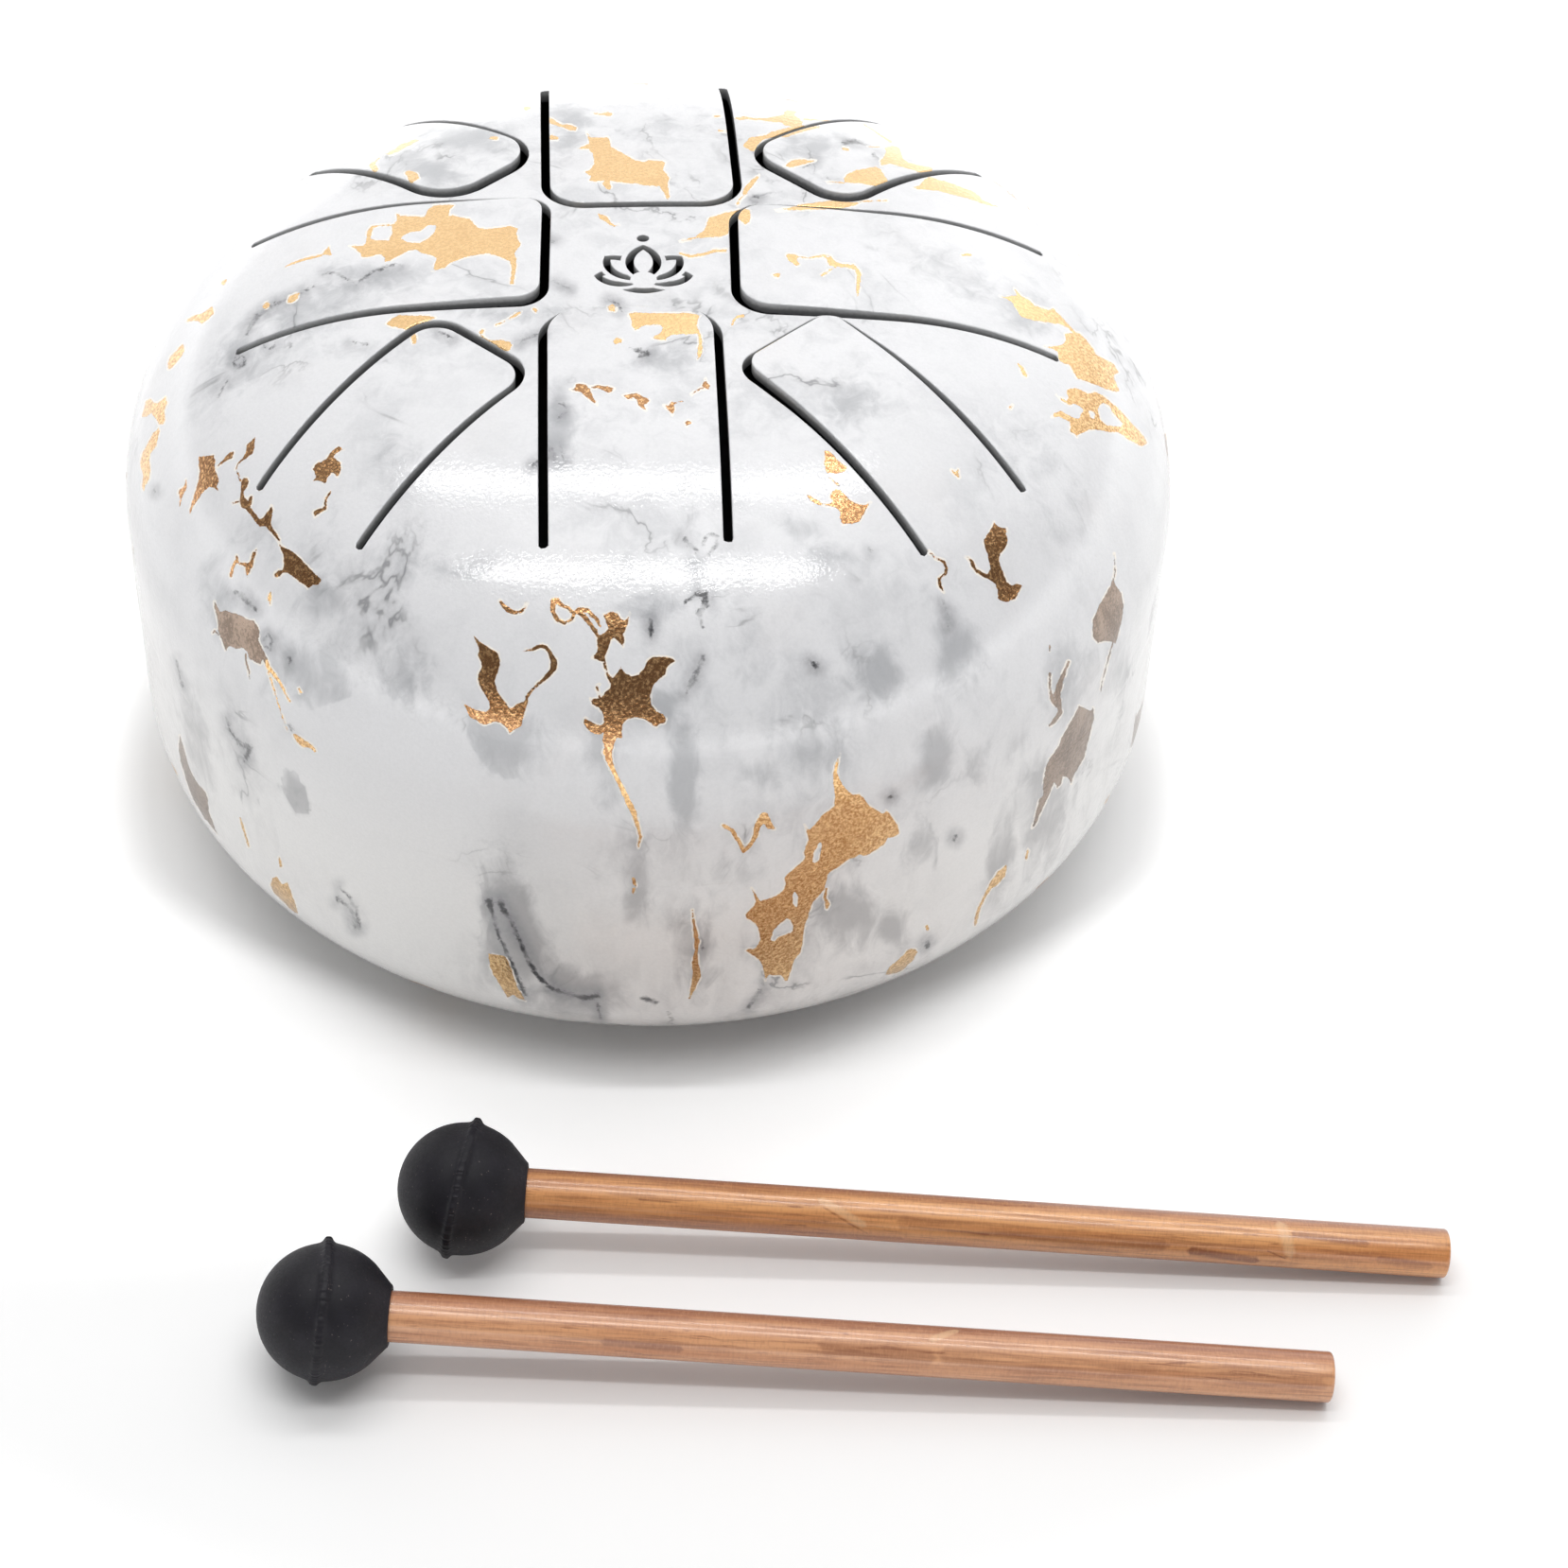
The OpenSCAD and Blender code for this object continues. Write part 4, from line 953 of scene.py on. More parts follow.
def lotus_loops():
    strokes = []
    for i, front in enumerate(PETAL_FRONTS):
        cuts = [petal_loop(i, -LOTUS_STROKE), ring_of((0, LOTUS_H * LOTUS_FOOT), LOTUS_STROKE + LOTUS_BRIDGE)]
        if front is not None:
            cuts.append(petal_loop(front, LOTUS_BRIDGE))
        strokes += cut_loops(petal_loop(i, 0), cuts)
    bowl, inner, low = LOTUS_H * BOWL_R, LOTUS_H * BOWL_R * BOWL_INNER, LOTUS_H * BOWL_LOW
    cuts = [ring_of((0, low + LOTUS_STROKE + inner), inner)] + [petal_loop(i, LOTUS_BRIDGE) for i in (3, 4)]
    strokes += cut_loops(ring_of((0, low + bowl), bowl), cuts)
    strokes.append(ring_of((0, LOTUS_H * LOTUS_DROP), LOTUS_STROKE * LOTUS_DROP_R, DROP_STEP))
    return [evened(loop + np.array(LOTUS_AT), LOTUS_STEP) for loop in strokes]


# skins

# Points round a shell's rim.
RIM_COUNT = 480
# Distances in mm between points inside the shells, and what points keep clear of an edge.
UPPER_INSIDE_STEP, LOWER_INSIDE_STEP, EDGE_CLEAR = 2.4, 3.0, 0.28
# How far in and down the middle of a rounded edge lies, as a share of its radius.
ROUND_MID = 0.293
# Slots of the shells' three materials.
LACQUER, CUT, INSIDE = 0, 1, 2


def hex_grid(reach, step):
    rows = int(reach / (step * math.sqrt(0.75))) + 1
    j, i = np.mgrid[-rows:rows + 1, -rows * 2:rows * 2 + 1]
    at = np.column_stack([((i + 0.5 * (j % 2)) * step).ravel(), (j * step * math.sqrt(0.75)).ravel()])
    return at[np.hypot(*at.T) < reach]


def clear_of(points, others, gap):
    """The points that keep a gap from all of the others."""
    tree = kdtree.KDTree(len(others))
    for k, (x, y) in enumerate(others):
        tree.insert((x, y, 0), k)
    tree.balance()
    return points[[tree.find((x, y, 0))[2] > gap for x, y in points]]


def cover(sheet, profile, reach, loops, grid, slot, side=1, lifted=False):
    """Covers a profile out to a reach, round the holes; returns the rim's points and each hole's."""
    flats = [reach * circle(RIM_COUNT)] + [profile.unroll(loop) for loop in loops]
    edge = np.vstack(flats)
    grid = clear_of(grid[np.hypot(*grid.T) < reach - 0.3], edge, EDGE_CLEAR)
    flat = np.vstack([edge, grid])
    numbers = numbered(flats)
    vectors = [Vector(p) for p in flat]
    at, _, found, source_points, _, source = delaunay_2d_cdt(vectors, [], numbers, 0, 1e-7, True)
    new = {}
    for k, origin in enumerate(source_points):
        for old in origin:
            new[old] = k
    flat = np.array([p[:] for p in at])
    points, normals = profile.place(flat)
    if lifted:
        lift, slope = tongue_lift(points[:, :2])
        points[:, 2] += lift
        normals[:, :2] -= slope * normals[:, 2:]
    marks = sheet.add(points)
    tris = np.array([face for face, origin in zip(found, source) if origin == [0]])
    sheet.face(marks[tris], side * normals[tris], slot)
    rings = [marks[[new[k] for k in loop]] for loop in numbers]
    return rings[0], rings[1:]


def hole_walls(sheet, outer, loops, tops, bottoms, edge, lifted=False, up=1):
    """The rounded edge and the wall of each hole, between its rings on the outer and the inner face."""
    for loop, top, bottom in zip(loops, tops, bottoms):
        away = outward(loop)
        flat_away = away / np.linalg.norm(away, axis=1)[:, None]
        wall = np.column_stack([-flat_away, np.zeros(len(loop))])
        place = np.vstack([loop + away * edge, loop + away * edge * ROUND_MID, loop])
        _, z, tilt = outer.at(outer.find(np.hypot(*place.T)))
        lift = tongue_lift(place)[0] if lifted else 0
        z = z + lift - up * edge * np.repeat((0, ROUND_MID, 1), len(loop))
        face = np.column_stack([np.sin(tilt)[:, None] * place / np.hypot(*place.T)[:, None], np.cos(tilt)])
        face = face[:len(loop)]
        mids, ends = (sheet.add(ring) for ring in np.split(np.column_stack([place, z]), 3)[1:])
        sheet.strip(top, mids, face, face + wall, LACQUER)
        sheet.strip(mids, ends, face + wall, wall, LACQUER)
        sheet.strip(ends, bottom, wall, wall, CUT)


def bands(sheet, ring, section, slot, side=1):
    """Turned bands that go on from a ring, along (radius, height) points with sharp edges."""
    round_ = np.pad(circle(RIM_COUNT), ((0, 0), (0, 1)))
    rise = np.array([0, 0, 1.0])
    for (r0, z0), (r1, z1) in zip(section, section[1:]):
        after = sheet.add(r1 * round_ + z1 * rise)
        normal = side * ((z1 - z0) * round_ - (r1 - r0) * rise) / math.hypot(r1 - r0, z1 - z0)
        sheet.strip(ring, after, normal, normal, slot)
        ring = after
    return ring


def rim_section(up):
    """The eased edge of a shell's rim at the seam."""
    mid = ROUND_MID * RIM_EDGE
    return [(DRUM_R, SEAM_Z + up * RIM_EDGE), (DRUM_R - mid, SEAM_Z + up * mid), (DRUM_R - RIM_EDGE, SEAM_Z)]


def make_upper_shell(materials):
    """The pressed top: outside, inside, slits, cut-out and rim."""
    outer, inner = upper_profile(0, SEAM_Z + RIM_EDGE), upper_profile(SHEET, SEAM_Z + RIM_EDGE)
    slits, lotus = [slit_loop(i) for i in range(8)], lotus_loops()
    loops, edges = slits + lotus, [SLIT_EDGE] * len(slits) + [LOTUS_EDGE] * len(lotus)
    sheet = Sheet()
    skirts = [loop + outward(loop) * e for loop, e in zip(loops, edges)]
    rim, tops = cover(sheet, outer, outer.s[-1], skirts, detail_grid(outer), LACQUER, 1, True)
    grid_in = hex_grid(inner.s[-1], UPPER_INSIDE_STEP)
    rim_in, bottoms = cover(sheet, inner, inner.s[-1], loops, grid_in, INSIDE, -1, True)
    hole_walls(sheet, outer, slits, tops[:8], bottoms[:8], SLIT_EDGE, True)
    hole_walls(sheet, outer, lotus, tops[8:], bottoms[8:], LOTUS_EDGE, True)
    low = bands(sheet, rim, [*rim_section(1), (DRUM_R - SHEET + RIM_EDGE, SEAM_Z)], LACQUER, -1)
    down = np.tile((0, 0, -1.0), (RIM_COUNT, 1))
    sheet.strip(low, rim_in, down, down, INSIDE)
    return sheet.make("upper_shell_lacquered", materials, marble_pattern)


def make_lower_shell(materials):
    """The pressed bowl: outside, sound hole, screw holes, joggled lip and inside."""
    outer, inner = lower_profile(0, SEAM_Z - RIM_EDGE), lower_profile(SHEET, SEAM_Z - 2 * SHEET)
    holes = [ring_of((0, 0), HOLE_R, HOLE_STEP)]
    holes += [ring_of(foot_at(k), SCREW_HOLE_R, SCREW_STEP) for k in range(3)]
    sheet = Sheet()
    skirts = [loop + outward(loop) * HOLE_EDGE for loop in holes]
    rim, tops = cover(sheet, outer, outer.s[-1], skirts, detail_grid(outer), LACQUER)
    grid_in = hex_grid(inner.s[-1], LOWER_INSIDE_STEP)
    rim_in, bottoms = cover(sheet, inner, inner.s[-1], holes, grid_in, INSIDE, -1)
    hole_walls(sheet, outer, holes, tops, bottoms, HOLE_EDGE, up=-1)
    wall_in = DRUM_R - SHEET
    lip_out, lip_in = wall_in - LAP_GAP, wall_in - LAP_GAP - SHEET
    top = bands(sheet, rim, rim_section(-1), LACQUER)
    top = bands(sheet, top, [(DRUM_R - RIM_EDGE, SEAM_Z), (lip_out, SEAM_Z), (lip_out, SEAM_Z + LAP_H),
                             (lip_in, SEAM_Z + LAP_H), (lip_in, SEAM_Z - SHEET + LAP_GAP)], INSIDE)
    slope = np.pad(-circle(RIM_COUNT), ((0, 0), (0, 1)), constant_values=1.0)
    sheet.strip(top, rim_in, slope, slope, INSIDE)
    return sheet.make("lower_shell_lacquered", materials, marble_pattern)


def foot_at(k):
    turn = math.radians(90 + 120 * k)
    return FOOT_RING * math.cos(turn), FOOT_RING * math.sin(turn)


# materials

class Nodes:
    """Adds shader nodes to a tree; numbers and sockets may both be given as inputs."""

    def __init__(self, tree, coord="Object"):
        self.tree = tree
        self.coord = tree.nodes.new("ShaderNodeTexCoord").outputs[coord]

    def new(self, kind, inputs=(), out=0, **settings):
        node = self.tree.nodes.new("ShaderNode" + kind)
        for key, value in settings.items():
            setattr(node, key, value)
        for key, value in dict(inputs).items():
            self.put(node.inputs[key], value)
        return node.outputs[out]

    def put(self, socket, value):
        if isinstance(value, bpy.types.NodeSocket):
            self.tree.links.new(value, socket)
        elif isinstance(value, tuple) and len(value) == 3 and socket.type == "RGBA":
            socket.default_value = (*value, 1)
        else:
            socket.default_value = value

    def math(self, how, a, b=0.0):
        return self.new("Math", {0: a, 1: b}, operation=how)

    def times(self, first, *others):
        for value in others:
            first = self.math("MULTIPLY", first, value)
        return first

    def plus(self, first, *others):
        for value in others:
            first = self.math("ADD", first, value)
        return first

    def most(self, first, *others):
        for value in others:
            first = self.math("MAXIMUM", first, value)
        return first

    def less(self, a, b):
        return self.math("SUBTRACT", a, b)

    def sway(self, noise, reach):
        """Noise about 0, half a reach to either side."""
        return self.times(self.less(noise, 0.5), reach)

    def step(self, value, low, high, to_low=0.0, to_high=1.0):
        """Goes smoothly from one value to another between two levels."""
        return self.new("MapRange", {"Value": value, "From Min": low, "From Max": high, "To Min": to_low,
                                     "To Max": to_high}, interpolation_type="SMOOTHSTEP")

    def noise(self, size, detail=2.0, rough=0.5, twist=0.0, at=None):
        """Noise whose features are about that many mm across."""
        return self.new("TexNoise", {"Vector": at or self.coord, "Scale": 1000 / size, "Detail": detail,
                                     "Roughness": rough, "Distortion": twist})

    def mapped(self, x, y, z, shift=(0, 0, 0)):
        """Coordinates shifted, and scaled along each axis: below 1 draws the pattern out."""
        return self.new("Mapping", {"Vector": self.coord, "Location": shift, "Scale": (x, y, z)})

    def mix(self, share, a, b):
        """A colour between two."""
        node = self.tree.nodes.new("ShaderNodeMix")
        node.data_type = "RGBA"
        for key, value in ((0, share), (6, a), (7, b)):
            self.put(node.inputs[key], value)
        return node.outputs[2]

    def layers(self, colour, *over):
        """A colour with others laid over it in turn, each given as (share, colour)."""
        for share, other in over:
            colour = self.mix(share, colour, other)
        return colour

    def field(self, name):
        return self.new("Attribute", out=2, attribute_name=name)

    def along(self, axis):
        """A coordinate in mm."""
        return self.times(self.new("SeparateXYZ", {0: self.coord}, "XYZ".index(axis)), 1000)

    def bump(self, height, depth, normal=None):
        """A bump whose height runs from 0 to 1 over that many mm."""
        inputs = {"Height": height, "Distance": depth * MM, "Strength": 1.0}
        if normal:
            inputs["Normal"] = normal
        return self.new("Bump", inputs)

    def streak(self, u, v, start, end, width):
        """1 on a line between two (u, v) places, 0 beyond its half width."""
        way = np.array(end, float) - start
        length = float(np.hypot(*way))
        cos, sin = (float(part) for part in way / length)
        du, dv = self.less(u, start[0]), self.less(v, start[1])
        along = self.plus(self.times(du, cos), self.times(dv, sin))
        across = self.math("ABSOLUTE", self.less(self.times(dv, cos), self.times(du, sin)))
        beyond = self.math("ABSOLUTE", self.less(along, length / 2))
        beyond = self.most(self.less(beyond, length / 2), 0.0)
        return self.step(self.plus(across, beyond), width, width * STREAK_CORE)


class Material(Nodes):
    """A new material with one shader."""

    def __init__(self, name):
        self.material = bpy.data.materials.new(name)
        self.material.use_nodes = True
        super().__init__(self.material.node_tree)
        self.shader = self.tree.nodes["Principled BSDF"]

    def set(self, **inputs):
        for key, value in inputs.items():
            self.put(self.shader.inputs[key.replace("_", " ")], value)
        return self.material


# The share of a streak's half width that is wholly covered.
STREAK_CORE = 0.35
# Heights in mm between which the lacquer changes from the top's look to the lower wall's, and to the dome's.
WALL_FADE, DOME_FADE = (66, 26), (76, 86)

# The marble's colours, the first of a pair on the top and the second low on the wall.
WHITES = (0.775, 0.775, 0.79), (0.865, 0.855, 0.84)
GREYS = (0.36, 0.37, 0.39), (0.34, 0.335, 0.34)
STAIN_TINT, SPECK_TINT, HAIR_TINT = (0.74, 0.70, 0.69), (0.2, 0.2, 0.2), (0.16, 0.16, 0.17)
SMOKE_TINT, VEIN_TINT = (0.25, 0.25, 0.27), (0.045, 0.045, 0.05)
MIST_SHARE, STREAK_SHARE, CLOUD_SHARE, STAIN_SHARE, SMOKE_SHARE = 0.36, 0.17, 0.68, 0.18, 0.65

# The gold's colours, each pair mixed by its grains.
GOLDS = (0.56, 0.29, 0.10), (1.0, 0.70, 0.36)
# Painted shade in part: the duller gold low on the wall stands for the dimmer light it mirrors there, besides
# the print's own tone.
DULL_GOLDS = (0.38, 0.25, 0.12), (0.66, 0.46, 0.24)
MAUVES = (0.31, 0.243, 0.205), (0.125, 0.098, 0.088)
# Painted shade in part: the brown stands for the dark room in front that the gold mirrors, besides the
# print's own tone.
BROWNS = (0.35, 0.16, 0.065), (0.95, 0.56, 0.27)
# Painted reflection in part: the pale dome gold stands for the bright sky that the gold mirrors on the dome,
# besides the print's own tone.
DOME_GOLD, WORN_GOLD, GOLD_EDGE_HIGHLIGHT = (0.97, 0.66, 0.33), (0.74, 0.46, 0.20), (0.93, 0.88, 0.8)
DOME_SHARE, DULL_SHARE, MAUVE_SHARE, BROWN_SHARE, EDGE_HIGHLIGHT_SHARE = 0.7, 0.45, 0.9, 0.85, 0.85


def marble_ground(n, low, soft, uneven, wisps):
    """White with grey clouds torn at their edges, smears down the lower wall, stains and hairlines."""
    cloud, broad = n.field("cloud"), n.noise(26, 2, 0.5)
    unclear = n.step(cloud, -0.5, 0.0)
    torn = n.plus(n.sway(soft, 0.7), n.sway(wisps, 0.8))
    mist = n.times(unclear, n.step(broad, 0.42, 0.6, 0.3, 1.0), n.step(torn, -0.14, 0.2), uneven)
    marked = n.times(n.step(n.plus(cloud, torn), 0.06, 0.66), n.step(cloud, 0.01, 0.16))
    runs = n.noise(5, 3, 0.55, 0.3, n.mapped(1, 1, 0.14))
    streaks = n.times(unclear, n.step(runs, 0.5, 0.76), low, n.step(broad, 0.42, 0.6))
    stain = n.step(n.noise(17, 3, 0.5), 0.54, 0.78)
    specks = n.step(n.noise(0.45, 2, 0.7), 0.3, 0.7, 0.0, 0.05)
    crossing = n.math("ABSOLUTE", n.less(n.noise(24, 5, 0.55, 0.8), 0.5))
    where = n.times(unclear, n.step(broad, 0.46, 0.62), n.step(soft, 0.42, 0.62))
    thin, wide = n.times(n.step(crossing, 0.012, 0.0), 0.5), n.times(n.step(crossing, 0.03, 0.0), 0.22)
    grey = n.mix(low, *GREYS)
    return n.layers(n.mix(low, *WHITES), (n.times(mist, MIST_SHARE), grey),
                    (n.times(streaks, STREAK_SHARE), grey), (n.times(marked, CLOUD_SHARE), grey),
                    (n.times(stain, STAIN_SHARE), STAIN_TINT), (specks, SPECK_TINT),
                    (n.times(n.plus(thin, wide), where), HAIR_TINT))


def veined(n, colour, soft, uneven):
    """Dark veins over a colour, in thin smoke, soft at their edges and uneven along their length."""
    vein = n.field("vein")
    line = n.plus(vein, n.sway(n.noise(0.7, 4, 0.7, 0.4), 1.2))
    smoke = n.times(n.step(vein, -1.8, 0.1), n.step(soft, 0.3, 0.62), uneven)
    dark = n.times(n.step(line, -0.12, 0.3), n.step(n.noise(3.2, 4, 0.65), 0.36, 0.6, 0.25, 1.0))
    return n.layers(colour, (n.times(smoke, SMOKE_SHARE), SMOKE_TINT), (dark, VEIN_TINT))


def gold_metal(n, low, wisps, grain):
    """Gold in bright grains, even on the dome, duller low on the wall, and brown or mauve in some patches."""
    # The pale dome gold, the duller gold low down and the brown are partly painted light and shade, partly
    # the print's own tone.
    dome, tone = n.step(n.along("Z"), *DOME_FADE), n.field("tone")
    wear_and_shade = n.step(n.noise(5, 4, 0.6), 0.45, 0.75, 0.0, 0.3)
    dull = n.mix(n.step(grain, 0.35, 0.65), *DULL_GOLDS)
    mauve = n.mix(n.step(n.plus(wisps, grain), 0.85, 1.15), *MAUVES)
    brown = n.mix(n.step(grain, 0.45, 0.7), *BROWNS)
    return n.layers(n.mix(n.step(grain, 0.34, 0.68), *GOLDS), (n.times(dome, DOME_SHARE), DOME_GOLD),
                    (wear_and_shade, WORN_GOLD), (n.times(low, DULL_SHARE), dull),
                    (n.times(n.step(tone, 0, 1), MAUVE_SHARE), mauve),
                    (n.times(n.step(tone, 0, -1), BROWN_SHARE), brown))


def marble_lacquer():
    """White marble with grey clouds, dark veins and gold leaf under a clear coat with some orange peel."""
    n = Material("marbled_lacquer")
    low = n.step(n.along("Z"), *WALL_FADE)
    soft, uneven = n.noise(9, 2, 0.45, 0.4), n.step(n.noise(1.1, 4, 0.7), 0.2, 0.7, 0.6, 1.1)
    wisps, grain = n.noise(3.2, 5, 0.62, 0.7, n.mapped(1, 1, 0.5)), n.noise(0.42, 2, 0.6)
    colour = veined(n, marble_ground(n, low, soft, uneven, wisps), soft, uneven)
    torn = n.plus(n.sway(n.noise(0.8, 4, 0.7, 0.3), 0.5), n.field("gold"))
    leaf = n.step(torn, -0.02, 0.05)
    # Painted highlight: a pale line just outside the leaf, where its raised edge would catch the light.
    rim = n.times(n.step(torn, -0.24, -0.14), n.less(1.0, leaf), n.step(n.noise(2.6, 2), 0.42, 0.52))
    colour = n.layers(colour, (n.times(rim, EDGE_HIGHLIGHT_SHARE), GOLD_EDGE_HIGHLIGHT), (leaf, gold_metal(n, low, wisps, grain)))
    peel = n.plus(n.times(n.noise(0.6, 2, 0.6), 0.8), n.times(n.noise(2.0, 2, 0.5), 0.55),
                  n.times(n.noise(8, 2), 0.4))
    coat = n.bump(peel, 0.044)
    relief = n.bump(n.plus(n.times(grain, leaf, 1.6), leaf), 0.03, coat)
    return n.set(Base_Color=colour, Metallic=n.times(leaf, 0.95), Roughness=n.step(leaf, 0, 1, 0.42, 0.26),
                 Coat_Weight=n.step(leaf, 0, 1, 1.0, 0.45), Coat_Roughness=0.06, Coat_IOR=1.5,
                 Coat_Normal=coat, Normal=relief)


def cut_steel():
    """The slits' walls: cut steel, pale at the outer edge from white lacquer run-over and painted light,
    painted shade deeper in.
    """
    n = Material("cut_steel")
    saw = n.noise(0.6, 3, 0.6)
    wear_and_shade = n.plus(n.field("depth"), n.sway(saw, 0.3))
    overspray_and_light, steel, shade = (0.66, 0.665, 0.67), (0.25, 0.253, 0.26), (0.06, 0.06, 0.065)
    # Painted light and shade by depth in the slit: paler near the outer face, near black towards the inner
    # face.
    colour = n.mix(n.step(wear_and_shade, 0.75, 1.05), n.mix(n.step(wear_and_shade, 0.1, 0.7), overspray_and_light, steel), shade)
    return n.set(Base_Color=colour, Roughness=0.3, Normal=n.bump(saw, 0.02), Coat_Weight=0.6,
                 Coat_Roughness=0.15)


def inside_primer():
    """The unlit inside: thin grey primer over drawn steel."""
    n = Material("inside_primer")
    spots = n.noise(3.5, 4, 0.6)
    colour = n.mix(n.step(spots, 0.35, 0.7), (0.035, 0.036, 0.04), (0.07, 0.07, 0.075))
    return n.set(Base_Color=colour, Roughness=n.step(spots, 0.3, 0.7, 0.5, 0.75), Normal=n.bump(spots, 0.05))


def ball_rubber():
    """Moulded black rubber, matt, with fine specks of dust."""
    n = Material("mallet_rubber")
    cloudy, grain = n.noise(5, 4, 0.6), n.noise(0.35, 3, 0.7)
    blacks, dust_tint = ((0.006, 0.0052, 0.0085), (0.0115, 0.01, 0.0155)), (0.16, 0.13, 0.12)
    dust = n.times(n.step(n.noise(0.4, 1), 0.7, 0.78), n.step(cloudy, 0.35, 0.55))
    colour = n.mix(n.times(dust, 0.5), n.mix(n.step(cloudy, 0.35, 0.7), *blacks), dust_tint)
    return n.set(Base_Color=colour, Roughness=n.step(grain, 0.3, 0.7, 0.5, 0.62), Normal=n.bump(grain, 0.02),
                 Specular_IOR_Level=0.32)


def foot_rubber():
    """Plain black rubber, matt."""
    n = Material("foot_rubber")
    grain = n.noise(0.3, 3, 0.7)
    colour = n.mix(n.step(n.noise(4, 3), 0.4, 0.7), (0.022, 0.022, 0.023), (0.034, 0.034, 0.035))
    return n.set(Base_Color=colour, Roughness=n.step(grain, 0.3, 0.7, 0.55, 0.72), Normal=n.bump(grain, 0.03))


def zinc_steel():
    """Bright zinc plating, a little stained."""
    n = Material("zinc_plated_steel")
    stain, drag = n.noise(2.2, 4, 0.6), n.noise(0.35, 3, 0.6)
    colour = n.mix(n.step(stain, 0.35, 0.7), (0.62, 0.63, 0.66), (0.76, 0.76, 0.77))
    return n.set(Base_Color=colour, Metallic=1.0, Roughness=n.step(stain, 0.3, 0.7, 0.24, 0.38),
                 Normal=n.bump(drag, 0.01))


PALE_MARK_TINT, PALE_MARK_SHARE = (0.84, 0.55, 0.31), 0.42


def stained_wood(name, pale, mid, dark, seed, dark_marks, pale_marks, shades):
    """Varnished ramin-like wood: grain and pores along the stick, and the marks that the photograph shows.
    A mark runs between two places, each a distance along the stick and one round it from its top, in mm,
    and then has its half width; a shade also has its share of the dark colour."""
    n = Material(name)
    drawn = n.mapped(1, 1, 0.045, (seed, seed, seed))
    wide, lines = n.noise(3.0, 4, 0.6, 0.3, drawn), n.noise(0.55, 4, 0.65, 0.2, drawn)
    pores = n.noise(0.5, 3, 0.6, 0.3, n.mapped(1, 1, 0.09, (seed, 0, seed)))
    patches = n.noise(13, 3, 0.55, 0.0, n.mapped(1.6, 1.6, 0.7, (0, seed, seed)))
    fuzz = n.noise(0.28, 2, 0.6, 0.0, n.mapped(0.3, 0.3, 1))
    u = n.along("Z")
    v = n.times(n.math("ARCTAN2", n.along("Y"), n.times(n.along("X"), -1.0)), STICK_R)
    # Painted shade: darker bands along the top-back and the low front of the stick, the edges of its round
    # side that turn from the light.
    edge_shade = n.plus(n.step(v, -0.5, 1.8), n.step(v, -5.6, -8.4))
    colour = n.layers(
        n.mix(n.step(wide, 0.3, 0.7), mid, pale), (n.times(n.step(lines, 0.42, 0.68), 0.5), dark),
        (n.times(n.step(pores, 0.6, 0.7), n.step(patches, 0.42, 0.6), 0.6), dark),
        (n.times(edge_shade, n.step(wide, 0.2, 0.6, 0.5, 1.0), 0.8), dark))
    for *mark, share in shades:
        cloudy = n.step(n.noise(1.6, 4, 0.7, 0.3, drawn), 0.3, 0.6)
        colour = n.mix(n.times(n.times(n.streak(u, v, *mark), cloudy), share), colour, dark)
    for mark in dark_marks:
        colour = n.mix(n.times(n.streak(u, v, *mark), n.step(lines, 0.3, 0.6), 0.6), colour, dark)
    for mark in pale_marks:
        colour = n.mix(n.times(n.streak(u, v, *mark), PALE_MARK_SHARE), colour, PALE_MARK_TINT)
    colour = n.layers(colour, (n.step(fuzz, 0.5, 0.7, 0.0, 0.16), pale),
                      (n.step(fuzz, 0.5, 0.3, 0.0, 0.14), dark))
    relief = n.plus(n.times(lines, 0.5), n.times(fuzz, 0.6))
    return n.set(Base_Color=colour, Roughness=n.step(lines, 0.3, 0.7, 0.34, 0.48),
                 Normal=n.bump(relief, 0.02), Coat_Weight=0.7, Coat_Roughness=0.17)


def amber_wood():
    dark_marks = (((49.2, -1.6), (55.4, -5.0), 0.22), ((61, -3.4), (72, -3.9), 0.2),
                  ((24, -2.2), (38, -2.6), 0.18), ((110.5, -3.6), (113.0, -4.6), 0.2))
    pale_marks = ((48.8, -0.6), (54.8, -3.7), 0.75), ((112.2, 0.5), (113.6, -3.8), 1.1)
    shades = (((100, -4.4), (109, -5.4), 1.0, 0.8), ((114, -0.9), (124, -1.7), 0.7, 0.65),
              ((126, -3.8), (133, -4.4), 0.9, 0.6), ((60, -3.0), (96, -3.8), 1.3, 0.5),
              ((8, -5.6), (60, -5.8), 0.8, 0.4))
    return stained_wood("stained_wood_amber", (0.84, 0.42, 0.165), (0.60, 0.235, 0.075), (0.20, 0.048, 0.014),
                        0.3, dark_marks, pale_marks, shades)


def rose_wood():
    dark_marks = ((21, -4.6), (27, -4.9), 0.22), ((38.5, -5.2), (42, -5.4), 0.2)
    pale_marks = (((80.2, -0.6), (83.4, 1.2), 0.7),)
    shades = (((37, -3.8), (47, -4.2), 0.8, 0.6), ((66, -2.2), (80, -3.0), 1.4, 0.5),
              ((82, -2.6), (110, -3.2), 1.7, 0.5), ((112, -3.0), (132, -3.4), 1.4, 0.4))
    return stained_wood("stained_wood_rose", (0.78, 0.41, 0.215), (0.54, 0.22, 0.09), (0.22, 0.065, 0.03),
                        1.7, dark_marks, pale_marks, shades)


# mallets, feet and fasteners

